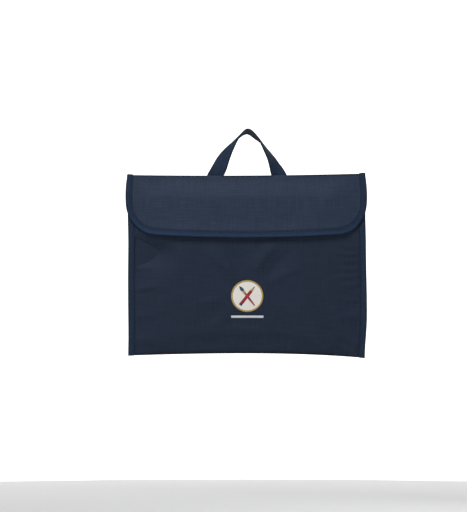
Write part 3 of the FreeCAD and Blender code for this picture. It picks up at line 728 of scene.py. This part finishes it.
def flap_stitches():
    """The row in the flap's binding, on its face and on its lining side."""
    rows = []
    x, down = flap_stations(inset=STITCH_INSET)[0].T
    step = 0.5 * MM
    for height, sign in ((TAPE_SKIN, 1), (-CLOTH - LINING - TAPE_SKIN, -1)):
        path = flap_point(x, down, height)
        rows.append((path, (flap_point(x, down, height + sign * step) - path) / step))
    return stitches("flap_edge_stitches", rows)


def side_stitches():
    """The rows in the side bindings, on the front and on the back."""
    rows = []
    for sign in (-1, 1):
        x = sign * (HALF - STITCH_INSET)
        for top, y, way in (
            (MOUTH - 4 * MM, SEAM_FRONT - TAPE_SKIN, -1),
            (AXIS_Z, BACK_INNER + CLOTH + TAPE_SKIN, 1),
        ):
            zs = np.linspace(1.5 * MM, top, 60)
            rows.append(facing(joined(x + 0.15 * MM * np.sin(zs / (17 * MM)), y, zs), way))
    return stitches("side_seam_stitches", rows)


def mouth_stitches():
    """The row in the tape of the front's top edge, outside and inside."""
    xs = np.linspace(-OPEN_HALF + 1 * MM, OPEN_HALF - 1 * MM, 150)
    z = MOUTH + TAPE - STITCH_INSET
    faces = ((TAPE_SKIN, -1), (-CLOTH - TAPE_SKIN, 1))
    return stitches("mouth_edge_stitches", [facing(on_face(xs, z, height), way) for height, way in faces])


def box_path(left, right, low, high):
    """A closed rectangular path of (x, z)."""
    corners = [(left, low), (right, low), (right, high), (left, high), (left, low)]
    return np.vstack([np.linspace(a, b, 24) for a, b in zip(corners, corners[1:])])


def fastener_stitches():
    """The boxes of stitches round the loop strips and the hook strips."""
    loops, hooks = [], []
    margin = 1.6 * MM
    for _, sign in SIDES:
        xs = side_span(sign, STRIP_LOW[0] + margin, STRIP_HIGH[0] - margin)
        line = box_path(*xs, STRIP_LOW[2] + margin, STRIP_HIGH[2] - margin)
        loops.append(facing(on_face(*line.T, FASTENER_BASE), -1))
        hooks.append(facing(on_face(*line.T, -CLOTH - LINING - FASTENER_BASE, flap_y), 1))
    return stitches("loop_tape_stitches", loops), stitches("hook_tape_stitches", hooks)


def handle_box_stitches():
    """A stitched box with its diagonals on each sewn end, and the same seam inside the back."""
    rows = []
    margin = 3 * MM
    low, high = END_LOW[2] + margin, END_HIGH[2] - margin
    for _, sign in SIDES:
        left, right = sign * SEWN_X - STRAP_WIDTH / 2 + margin, sign * SEWN_X + STRAP_WIDTH / 2 - margin
        lines = [box_path(left, right, low, high)]
        lines.append(np.linspace((left, low), (right, high), 20))
        lines.append(np.linspace((left, high), (right, low), 20))
        for x, z in (line.T for line in lines):
            rows.append(facing(joined(x, END_HIGH[1] + 0.02 * MM, z), 1))
            rows.append(facing(joined(x, BACK_INNER - 0.65 * MM, z), -1))
    return stitches("handle_box_stitches", rows, width=0.7 * MM)


# ---- handle

HANDLE_LINE = [
    # x and z of the middle of the webbing, and how far it has turned from facing front, in degrees
    (-56.3, 264, 0),
    (-56.3, 280, 0),
    (-56.7, 289.5, 0),
    (-56.4, 295, 0),
    (-53.5, 301.5, 0),
    (-49.1, 309.3, 1),
    (-45.4, 316.5, 14),
    (-39.1, 331.4, 36),
    (-31.6, 345.2, 56),
    (-22.6, 357.6, 75),
    (-15, 366, 88),
    (-7, 373.4, 99),
    (1.3, 376.8, 109),
    (9.2, 372.6, 106),
    (16.7, 366, 100),
    (23.3, 358.5, 89),
    (32.3, 345.6, 74),
    (40.5, 331.3, 60),
    (46.8, 317, 41),
    (53.3, 302.5, 10),
    (55.8, 296, 0),
    (56.4, 289.5, 0),
    (56.3, 280, 0),
    (56.3, 264, 0),
]


def webbing():
    """The webbing from one sewn end, up and over in a twisted arch, to the other sewn end."""
    turn_scale = 0.02  # so that a turn counts for little in the spacing along the line
    line = smooth_through([(x * MM, z * MM, turn_scale * math.radians(turn)) for x, z, turn in HANDLE_LINE])
    line = resampled(line, 1.1 * MM)[0]
    x, z, turn = line[:, 0], line[:, 1], line[:, 2:] / turn_scale
    right, up = directions(line[:, :2]).T
    tangent, inward = joined(right, 0.0, up), joined(up, 0.0, -right)
    wide = inward * np.cos(turn) + [0.0, -1.0, 0.0] * np.sin(turn)
    thick = np.cross(tangent, wide)
    thick /= np.linalg.norm(thick, axis=-1, keepdims=True)
    sewn_y = (END_LOW[1] + END_HIGH[1]) / 2
    loop_y = (PIVOT_Y - STRAP / 2) * 0.8 + sewn_y * 0.2
    middle = joined(x, sewn_y + (loop_y - sewn_y) * ramp(z - PIVOT_Z, -2, 10), z)
    share = np.array([-1, -0.97, -0.9, -0.8, -0.4, 0, 0.4, 0.8, 0.9, 0.97, 1])
    plump = np.array([0.35, 0.8, 1.0, 0.9, 0.86, 0.84, 0.86, 0.9, 1.0, 0.8, 0.35])
    rim = np.concatenate([share, share[::-1]])
    rise = np.concatenate([plump, -plump[::-1]]) * STRAP / 2
    cup = 2.7 * MM * ramp(z - TOP, 12, 40) * (1 - 0.5 * ramp(z, 366, 10))
    rings = middle[:, None] + wide[:, None] * (rim * STRAP_WIDTH / 2)[:, None]
    rings = rings + thick[:, None] * (rise + cup[:, None] * (rim**2 - 0.4))[:, :, None]
    top = ramp(z, 350, 26)[:, None]
    wear = 0.3 * ease((np.abs(rim) - 0.9) / 0.1) * (0.3 + 0.7 * top)
    # painted shade along both edges of the webbing
    selvage_shade = np.tile(0.75 * ease((np.abs(rim) - 0.82) / 0.1), (len(x), 1))
    return swept_piece("handle_webbing", rings, path_length(line[:, :2]), wear, selvage_shade)


def handle_patch(side, sign):
    """The cloth patch inside the back, behind one sewn end."""
    x, z = side_grid(sign, PATCH_LOW, PATCH_HIGH, 15, 15)
    y = PATCH_LOW[1] - 0.15 * MM * np.sin(x / (5 * MM)) * np.sin(z / (6 * MM))
    frayed = 0.3 * ramp(np.abs(x - sign * SEWN_X), 15, 2)
    return sheet_piece(f"inner_patch_{side}", joined(x, y, z), joined(x, z), 0.5 * MM, frayed)


# ---- hook and loop strips

FASTENER_BASE = 0.75 * MM


def loop_strip(side, sign):
    """A brushed loop strip on the front cloth: an uneven pile on a woven base."""
    x, z = side_grid(sign, STRIP_LOW, STRIP_HIGH, 134, 35)
    edge = np.minimum(np.minimum(x - x.min(), x.max() - x), np.minimum(z - z.min(), z.max() - z))
    pile = np.sin(x * 5100 + 2 * np.sin(z * 3300)) * np.sin(z * 4700 + 2 * np.sin(x * 2900 + sign))
    height = FASTENER_BASE + 0.35 * MM * ramp(edge, 2.4, 1.2) * (0.75 + 0.25 * pile)
    height = height - 0.5 * MM * (1 - ramp(edge, 0, 0.5))
    worn = 0.35 * ramp(edge, 4, 3)
    return sheet_piece(f"loop_tape_{side}", on_face(x, z, height), joined(x, z), 0.5 * MM, worn)


def hook_strip(side, sign):
    """A moulded hook strip on the flap lining: a base with rows of small leaning hooks."""
    x, z = (values[::-1] for values in side_grid(sign, STRIP_LOW, STRIP_HIGH, 41, 12))
    rows, columns = x.shape
    count = rows * columns
    inner = CLOTH + LINING
    vertices = [*on_face(x, z, -inner - 0.6 * MM, flap_y).reshape(-1, 3)]
    vertices += [*on_face(x, z, -inner - 0.05 * MM, flap_y).reshape(-1, 3)]
    faces = [face[::-1] for face in grid_faces(rows, columns)] + grid_faces(rows, columns, first=count)
    rim = [*range(columns), *range(2 * columns - 1, count, columns)]
    rim += [*range(count - 2, count - columns - 1, -1), *range(count - 2 * columns, 0, -columns)]
    faces += [(a, b, b + count, a + count) for a, b in zip(rim, rim[1:] + rim[:1])]
    for row, hook_z in enumerate(np.arange(z.min() + 3.2 * MM, z.max() - 3 * MM, 1.25 * MM)):
        lean = (-1) ** row * 0.28 * MM
        for hook_x in np.arange(x.min() + 3.2 * MM + (row % 2) * 0.7 * MM, x.max() - 3 * MM, 1.4 * MM):
            root = np.array([hook_x, flap_y(hook_x, hook_z) + inner + 0.58 * MM, hook_z])
            faces += grid_faces(4, 4, wrap=True, first=len(vertices))
            for up, out, half in ((0, 0, 0.22), (0.42, 0.1, 0.16), (0.6, 0.6, 0.15), (0.42, 1.25, 0.08)):
                for dx, dz in ((-half, -half), (half, -half), (half, half), (-half, half)):
                    vertices.append(root + [dx * MM, up * MM, dz * MM + lean * out])
    uvs = np.array(vertices)[:, [0, 2]]
    return finish_mesh(f"hook_tape_{side}", hang(vertices), faces, uvs, smooth=False)


# ---- badge

THREAD = 0.42 * MM


def satin(name, line, half_widths, height, base=0.0, closed=False):
    """Satin stitch along a path of (x, z): threads square to the path, side by side, over a rounded bed."""
    line = np.asarray(line, float)
    if closed:
        line = np.vstack([line, line[:1]])
    dense, along = resampled(np.column_stack([line, np.broadcast_to(half_widths, len(line))]), THREAD / 4)
    forward = np.gradient(dense[:, :2], axis=0)
    if closed:
        forward[0] = forward[-1] = forward[0] + forward[-1]
    forward /= np.linalg.norm(forward, axis=1, keepdims=True)
    number = np.floor(along / THREAD)
    jitter = 1 + 0.025 * np.sin(number * 12.9898) * np.sin(number * 4.1)
    ridge = np.abs(np.sin(along / THREAD * math.pi))[:, None]
    share = np.linspace(-1, 1, 13)
    bed = np.sqrt(np.clip(1 - share**4, 0, 1))
    off = share * (dense[:, 2] * jitter)[:, None]
    x = dense[:, :1] - forward[:, 1:] * off
    z = dense[:, 1:2] + forward[:, :1] * off
    up = base + (height * (0.55 + 0.45 * bed) + 0.13 * MM * ridge) * bed - 0.05 * MM
    return sheet_piece(name, on_face(x, z, up), joined(off, along[:, None]), 0.12 * MM)


def badge_ground():
    """The filled ground: rows of staggered running stitches inside the border."""
    share = np.linspace(0.02, 1, 60)[:, None]
    turn = np.linspace(0, 2 * math.pi, 161)
    reach = (RING_INNER + 0.8 * MM) * share
    x, z = reach * np.cos(turn), BADGE_Z + reach * np.sin(turn)
    ridge = np.abs(np.sin(z / THREAD * math.pi))
    height = (0.5 + 0.06 * ridge - 0.3 * ease((share - 0.97) / 0.03)) * MM
    return sheet_piece("badge_ground_fill", on_face(x, z, height), joined(x, z), 0.2 * MM)


def turned(levels, degrees):
    """Points up the middle of the badge, in tenths of its inner radius, turned about it."""
    turn = math.radians(degrees)
    levels = np.array(levels, float) * RING_INNER / 10
    return joined(levels * math.sin(turn), levels * math.cos(turn) + BADGE_Z)


TOOL_PARTS = [
    # piece, finish, turn in degrees, points along it and half widths there in tenths of the badge's inner
    # radius, height of the stitches, and how far they stand on what lies below them, in millimetres
    ("pencil_shaft", "badge_motif_thread", 38, (-6.6, 4.6), (1.15,), 0.5, 0.5),
    ("pencil_cap", "badge_navy_thread", 38, (-8.0, -6.7), (1.15,), 0.5, 0.5),
    ("pencil_wood", "badge_border_thread", 38, (4.7, 7.2), (1.15, 0.45), 0.45, 0.5),
    ("pencil_lead", "badge_navy_thread", 38, (7.1, 8.5), (0.5, 0.08), 0.4, 0.5),
    ("brush_shaft", "badge_motif_thread", -38, (-8.3, -2.0, 2.6), (0.35, 0.8, 0.6), 0.55, 0.9),
    ("brush_ferrule", "badge_border_thread", -38, (2.7, 4.6), (0.95,), 0.5, 0.6),
    ("brush_bristles", "badge_navy_thread", -38, (4.7, 5.9, 7.4, 8.9), (0.95, 1.3, 0.9, 0.1), 0.5, 0.5),
]


def tool_part(name, turn, levels, half_widths, height, base):
    """One run of satin in the crossed pencil and brush."""
    return satin(name, turned(levels, turn), np.array(half_widths) * RING_INNER / 10, height * MM, base * MM)


# ---- materials


class Shader:
    """A small helper that builds one material's nodes."""

    def __init__(self, name, **settings):
        self.material = bpy.data.materials.new(name)
        self.material.use_nodes = True
        self.tree = self.material.node_tree
        self.out = self.tree.nodes["Principled BSDF"]
        for socket, value in settings.items():
            self.out.inputs[socket.replace("_", " ")].default_value = value

    def node(self, kind, inputs=(), **settings):
        """A node with its settings, and its input sockets by name or number: linked, or set to a number."""
        made = self.tree.nodes.new("ShaderNode" + kind)
        for key, value in settings.items():
            setattr(made, key, value)
        for key, value in dict(inputs).items():
            self.fill(made.inputs[key], value)
        return made

    def fill(self, socket, value):
        """Links a socket, or sets it to a number or a colour."""
        if isinstance(value, bpy.types.NodeSocket):
            self.tree.links.new(value, socket)
        else:
            socket.default_value = (*value, 1.0) if isinstance(value, tuple) else value

    def math(self, operation, a, b=0.0, clamp=False):
        return self.node("Math", {0: a, 1: b}, operation=operation, use_clamp=clamp).outputs[0]

    def add(self, a, b):
        return self.math("ADD", a, b)

    def times(self, a, b):
        return self.math("MULTIPLY", a, b)

    def noise(self, scale_u, scale_v, detail=3.0, roughness=0.55):
        """Noise over the cloth, with its own scale each way, in features per metre."""
        scaled = {0: self.times(self.u, scale_u), 1: self.times(self.v, scale_v)}
        place = self.node("CombineXYZ", scaled).outputs[0]
        inputs = {"Scale": 1.0, "Detail": detail, "Roughness": roughness, "Vector": place}
        return self.node("TexNoise", inputs).outputs["Fac"]

    def ripple(self, value, pitch):
        """A sine that crosses zero every pitch metres."""
        return self.math("SINE", self.times(value, math.pi / pitch))

    def wave(self, value, pitch):
        """A rounded rib, 0 to 1, every pitch metres."""
        return self.math("ABSOLUTE", self.ripple(value, pitch))

    def spread(self, value, low, high, to_low=0.0, to_high=1.0):
        """Maps low..high to to_low..to_high."""
        inputs = {"From Min": low, "From Max": high, "To Min": to_low, "To Max": to_high, "Value": value}
        return self.node("MapRange", inputs).outputs["Result"]

    def mixed(self, share, a, b, how="MIX"):
        """A colour between two, or a colour multiplied by another to a share."""
        inputs = {"Factor": share, 6: a, 7: b}
        return self.node("Mix", inputs, data_type="RGBA", blend_type=how).outputs[2]

    def painted(self, name):
        """A value stored on the piece: wear or painted shade."""
        return self.node("Attribute", attribute_name=name).outputs["Fac"]

    def shaded_and_worn(self, colour, light, strength, speckle):
        """A colour with painted shade in its furrows and along its folds and seams, and lighter where its
        edges are worn, in places as a painted highlight.
        """
        # painted shade, multiplied in where the shade attribute says
        deep = self.mixed(self.painted("shade"), colour, PAINTED_SHADE_TINT, "MULTIPLY")
        worn = self.math("MULTIPLY", self.painted("wear"), speckle, clamp=True)
        return self.mixed(self.times(worn, strength), deep, light)

    def finish(self, colour, roughness, height, depth):
        """Links the colour, roughness and bump height, whose full range is depth metres."""
        bump = self.node("Bump", {"Strength": 1.0, "Distance": depth, "Height": height})
        self.fill(self.out.inputs["Base Color"], colour)
        self.fill(self.out.inputs["Roughness"], roughness)
        self.fill(self.out.inputs["Normal"], bump.outputs[0])
        return self.material


def cloth_shader(name, sheen, sheen_roughness, specular):
    """A shader with the ways across and along the cloth, u and v, in metres."""
    s = Shader(name, Sheen_Weight=sheen, Sheen_Roughness=sheen_roughness, Specular_IOR_Level=specular)
    uv = s.node("UVMap", uv_map="UVMap").outputs[0]
    s.u, s.v = s.node("SeparateXYZ", {0: uv}).outputs[:2]
    return s


def srgb(red, green, blue):
    """A colour as it would be picked on a screen, 0 to 255, turned to the renderer's own scale."""
    shares = (red / 255, green / 255, blue / 255)
    return tuple(c / 12.92 if c < 0.0404 else ((c + 0.055) / 1.055) ** 2.4 for c in shares)


# painted shade: the tint that the shade attribute darkens a colour towards
PAINTED_SHADE_TINT = (0.08, 0.12, 0.18)  # what a colour is multiplied by where it is darkest


def woven(name, dark, mid, light, pitch, depth):
    """Plain-woven cloth: crossing yarns, slubs along each yarn direction, blotches, worn folds and painted
    shade.
    """
    s = cloth_shader(name, 0.04, 0.45, 0.22)
    yarns = s.times(s.wave(s.u, pitch), s.wave(s.v, pitch))
    over = s.times(s.ripple(s.u, pitch), s.ripple(s.v, pitch))
    streaks = s.add(s.noise(0.55 / pitch, 30, detail=2), s.noise(24, 0.55 / pitch, detail=2))
    blotch = s.noise(22, 22, detail=4)
    fine = s.noise(620, 620, detail=3)
    thick = s.add(s.wave(s.u, 4 * pitch), s.wave(s.v, 4 * pitch))
    tone = s.times(s.spread(s.add(streaks, s.times(over, 0.10)), 0.78, 1.22), 0.32)
    tone = s.add(s.add(tone, s.times(blotch, 0.22)), s.times(thick, 0.22))
    tone = s.spread(s.add(tone, s.times(fine, 0.35)), 0.3, 1.02)
    colour = s.mixed(s.spread(yarns, 0.35, 1.0, 0.0, 0.28), s.mixed(tone, dark, mid), light)
    colour = s.shaded_and_worn(colour, light, 0.75, s.spread(fine, 0.3, 0.7))
    rough = s.spread(s.add(s.times(yarns, 0.5), fine), 0.2, 1.2, 0.75, 0.55)
    return s.finish(colour, rough, s.add(s.times(yarns, 0.55), s.times(streaks, 0.45)), depth)


def ribbed(name, dark, mid, light, rib, depth, warp):
    """Tape or webbing: ribs across its length, fine warp yarns along it, worn edges and painted shade."""
    s = cloth_shader(name, 0.03, 0.5, 0.2)
    ribs, yarns = s.wave(s.v, rib), s.wave(s.u, warp)
    along = s.noise(0.7 / warp, 40, detail=2)
    blotch = s.noise(60, 45, detail=3)
    fine = s.noise(1500, 1500, detail=2)
    tone = s.add(s.times(along, 0.5), s.times(blotch, 0.5))
    colour = s.mixed(s.spread(tone, 0.3, 0.7), dark, mid)
    colour = s.mixed(s.spread(ribs, 0.25, 1.0, 0.0, 0.4), colour, light)
    colour = s.mixed(s.spread(ribs, 0.0, 0.3, 0.5, 0.0), colour, dark)
    colour = s.shaded_and_worn(colour, light, 0.6, s.spread(fine, 0.25, 0.7))
    rough = s.spread(s.add(ribs, fine), 0.3, 1.6, 0.8, 0.6)
    return s.finish(colour, rough, s.add(s.times(ribs, 0.75), s.times(yarns, 0.25)), depth)


def thread(name, dark, light):
    """Twisted sewing thread."""
    s = cloth_shader(name, 0.2, 0.4, 0.5)
    twist = s.wave(s.add(s.u, s.times(s.v, 1.2)), 0.5 * MM)
    vary = s.noise(260, 900, detail=2)
    colour = s.mixed(s.spread(s.add(s.times(twist, 0.4), vary), 0.35, 1.0), dark, light)
    return s.finish(colour, s.spread(vary, 0.3, 0.7, 0.35, 0.6), twist, 0.05 * MM)


def floss(name, dark, light, lane_scale=40, detail=1):
    """Embroidery floss: fine shining filaments that lie across the satin's path."""
    s = cloth_shader(name, 0.1, 0.3, 0.55)
    lanes = s.noise(lane_scale, 0.9 / THREAD, detail)
    fine = s.noise(180, 5200, detail=2)
    threads = s.wave(s.v, THREAD)
    tone = s.add(s.times(lanes, 0.6), s.times(threads, 0.45))
    colour = s.mixed(s.spread(tone, 0.25, 0.85), dark, light)
    height = s.add(s.times(threads, 0.7), s.times(fine, 0.3))
    return s.finish(colour, s.spread(fine, 0.3, 0.7, 0.32, 0.55), height, 0.07 * MM)


def pile(name, dark, light):
    """Brushed loop pile."""
    s = cloth_shader(name, 0.35, 0.6, 0.2)
    fuzz = s.noise(1400, 1400, detail=4, roughness=0.7)
    both = s.add(fuzz, s.noise(260, 260, detail=2))
    colour = s.mixed(s.spread(both, 0.75, 1.25), dark, light)
    colour = s.mixed(s.times(s.painted("wear"), 0.6), colour, light)
    return s.finish(colour, s.spread(fuzz, 0.3, 0.7, 0.8, 0.95), both, 0.3 * MM)


def moulded(name, dark, light):
    """Moulded nylon hook tape."""
    s = cloth_shader(name, 0.0, 0.5, 0.35)
    grain = s.noise(700, 700, detail=3)
    colour = s.mixed(s.spread(grain, 0.35, 0.65), dark, light)
    return s.finish(colour, s.spread(grain, 0.3, 0.7, 0.38, 0.6), grain, 0.04 * MM)


FINISHES = {
    # by name: its kind, its colours from dark to light, and its measures
    "shell_cloth": (woven, [(18, 28, 45), (34, 46, 67), (53, 69, 95)], (0.85 * MM, 0.18 * MM)),
    # the flap's cloth is the shell's cloth in lighter colours: a painted highlight, as the flap catches more
    # light than the front
    "flap_cloth": (woven, [(26, 37, 55), (47, 61, 83), (66, 83, 109)], (0.85 * MM, 0.18 * MM)),
    "lining_cloth": (woven, [(26, 31, 44), (36, 43, 58), (54, 63, 82)], (0.5 * MM, 0.08 * MM)),
    "binding_tape": (ribbed, [(15, 29, 49), (26, 46, 73), (46, 73, 107)], (0.95 * MM, 0.16 * MM, 0.45 * MM)),
    "webbing": (ribbed, [(14, 27, 45), (28, 46, 71), (48, 69, 99)], (1.7 * MM, 0.38 * MM, 0.8 * MM)),
    "thread": (thread, [(14, 24, 42), (30, 46, 74)], ()),
    "loop_pile": (pile, [(18, 22, 33), (46, 52, 68)], ()),
    "hook_tape": (moulded, [(16, 23, 38), (30, 42, 64)], ()),
    "badge_ground_thread": (floss, [(232, 228, 218), (252, 250, 244)], (60, 2)),
    "badge_border_thread": (floss, [(150, 118, 52), (214, 182, 104)], ()),
    "badge_motif_thread": (floss, [(120, 12, 28), (190, 34, 52)], ()),
    "badge_bar_thread": (floss, [(200, 202, 206), (246, 247, 250)], ()),
    "badge_navy_thread": (floss, [(26, 36, 62), (52, 68, 104)], ()),
}


def materials():
    """Every finish on the case, made once."""
    return {
        name: kind(name, *(srgb(*colour) for colour in colours), *measures)
        for name, (kind, colours, measures) in FINISHES.items()
    }


# ---- putting it together


def tie(piece, finish, nodes):
    """Gives a piece its material, and hides the CAD nodes that it stands for."""
    piece.data.materials.clear()
    piece.data.materials.append(finish)
    if nodes:
        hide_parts(*nodes)


def build(finishes):
    """Makes every piece, ties those on the case to the case's body, gives each its finish, and hides the
    nodes that it stands for.
    """

    def on_case(piece, slot, *nodes, finish=None):
        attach(piece, "case")
        tie(piece, finishes[finish or slot], nodes)
        return piece

    def on_flap(piece, slot, *nodes, finish=None):
        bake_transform(piece)
        tie(piece, finishes[finish or slot], nodes)
        return piece

    cloth = on_case(shell(), "shell_cloth", "front_panel", "base_fold", "back_panel", "top_fold")
    # the flap's outer cloth takes the lighter copy of the shell's cloth, a painted highlight
    outer = on_flap(flap_cloth(), "shell_cloth", "flap_panel", finish="flap_cloth")
    inner = on_flap(flap_lining(), "lining_cloth", "flap_lining")
    on_flap(flap_tape(), "binding_tape", "flap_binding")
    on_flap(flap_stitches(), "thread", "flap_stitches")
    on_case(mouth_tape(), "binding_tape", "mouth_binding")
    on_case(side_stitches(), "thread", "side_stitches")
    on_case(mouth_stitches(), "thread", "mouth_stitches")
    for side, sign in SIDES:
        on_case(side_tape(side, sign), "binding_tape", f"{side}_side_binding")
        on_case(loop_strip(side, sign), "loop_pile", f"loop_strip_{side}")
        on_flap(hook_strip(side, sign), "hook_tape", f"hook_strip_{side}")
        on_case(handle_patch(side, sign), "lining_cloth", f"handle_patch_{side}")
    loops, hooks = fastener_stitches()
    on_case(loops, "thread", "loop_strip_stitches")
    on_flap(hooks, "thread", "hook_strip_stitches")
    on_case(handle_box_stitches(), "thread", "handle_stitches")
    strap = webbing()
    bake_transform(strap)
    tie(strap, finishes["webbing"], ("handle_loop", "handle_end_left", "handle_end_right"))
    badge(on_case)


def badge(on_case):
    """The embroidered badge on the front, and the plain bar below it."""
    on_case(badge_ground(), "badge_ground_thread", "badge_ground")
    middle, half = (RING_OUTER + RING_INNER) / 2, (RING_OUTER - RING_INNER) / 2
    circle = arc_points((0, BADGE_Z), middle, 0, 2 * math.pi, 121)[:-1]
    ring = satin("badge_ring", circle, half, 0.75 * MM, closed=True)
    on_case(ring, "badge_border_thread", "badge_border")
    for name, finish, *drawing in TOOL_PARTS:
        nodes = ("badge_motif",) if name == "pencil_shaft" else ()
        slot = "thread" if finish == "badge_navy_thread" else finish
        on_case(tool_part(name, *drawing), slot, *nodes, finish=finish)
    level, half = (BAR_LOW[2] + BAR_HIGH[2]) / 2, (BAR_HIGH[2] - BAR_LOW[2]) / 2
    bar = satin("badge_plain_bar", [(BAR_LOW[0], level), (BAR_HIGH[0], level)], half, 0.6 * MM)
    on_case(bar, "badge_bar_thread", "badge_bar")


# ---- studio

VIEW_DISTANCE = 4.2
VIEW_HALF_HEIGHT = 430.592 * MM
VIEW_MIDDLE = (-23.0 * MM, 166.6 * MM)
FLOOR_Z = -0.62
ROOM = 4.6  # half the width of the floor, and the radius of the backdrop
WALL_TOP = 1.5


def plain(name, colour, glow, fade=None):
    """A plain pale studio surface with a slight unevenness, lit by itself as well as by the lights."""
    s = Shader(name, Emission_Strength=glow, Roughness=0.9)
    s.out.inputs["Emission Color"].default_value = (1, 1, 1, 1)
    place = s.node("NewGeometry").outputs["Position"]
    noise = s.node("TexNoise", {"Scale": 3.0, "Vector": place}).outputs["Fac"]
    s.fill(s.out.inputs["Base Color"], s.mixed(noise, (colour,) * 3, (colour * 1.02,) * 3))
    if fade:
        depth = s.node("SeparateXYZ", {0: place}).outputs[1]
        s.fill(s.out.inputs["Emission Strength"], s.spread(depth, *fade, 0.2, glow))
    return s.material


def stage_piece(name, corners, faces, material):
    """One surface of the studio."""
    mesh = bpy.data.meshes.new(name)
    mesh.from_pydata(corners, [], faces)
    mesh.materials.append(material)
    add_object(name, mesh)


def area_light(name, place, target, size, power):
    """A soft square light aimed at a point."""
    light = bpy.data.lights.new(name, "AREA")
    light.shape = "SQUARE"
    light.size = size
    light.energy = power
    made = add_object(name, light)
    made.location = place
    made.rotation_euler = (Vector(target) - Vector(place)).to_track_quat("-Z", "Y").to_euler()


def floor():
    """A pale floor, well below the hanging case."""
    corners = [(x, y, FLOOR_Z) for x, y in ((-ROOM, -ROOM), (ROOM, -ROOM), (ROOM, ROOM), (-ROOM, ROOM))]
    stage_piece("floor", corners, [(0, 1, 2, 3)], plain("floor_paint", 0.62, 0.14))


def backdrop():
    """A round pale wall, brightest behind the case, that dims smoothly towards the front."""
    turns = np.linspace(0, 2 * math.pi, 65)
    corners = [(ROOM * math.cos(t), ROOM * math.sin(t), z) for z in (FLOOR_Z, WALL_TOP) for t in turns]
    paper = plain("backdrop_paper", 0.8, 1.0, fade=(-2.4, 3.8))
    stage_piece("backdrop", corners, grid_faces(2, len(turns)), paper)


def studio():
    """A pale floor and backdrop, soft light from the upper front, and a long lens straight at the front."""
    floor()
    backdrop()
    middle = (0, 0, 0.17)
    area_light("key_light", (-0.62, -1.5, 2.25), middle, 1.0, 50)
    area_light("back_light", (1.2, 3.4, 0.9), middle, 1.6, 26)
    scene = bpy.context.scene
    scene.world = bpy.data.worlds.new("studio_world")
    scene.world.use_nodes = True
    background = scene.world.node_tree.nodes["Background"]
    background.inputs["Color"].default_value = (0.96, 0.98, 1.0, 1)
    background.inputs["Strength"].default_value = 0.06
    scene.view_settings.view_transform = "Standard"
    camera = add_object("camera", bpy.data.cameras.new("camera"))
    camera.location = (VIEW_MIDDLE[0], -VIEW_DISTANCE, VIEW_MIDDLE[1])
    camera.rotation_euler = (math.pi / 2, 0, 0)
    camera.data.lens = camera.data.sensor_width / 2 / (VIEW_HALF_HEIGHT / VIEW_DISTANCE)
    scene.camera = camera


build(materials())
studio()
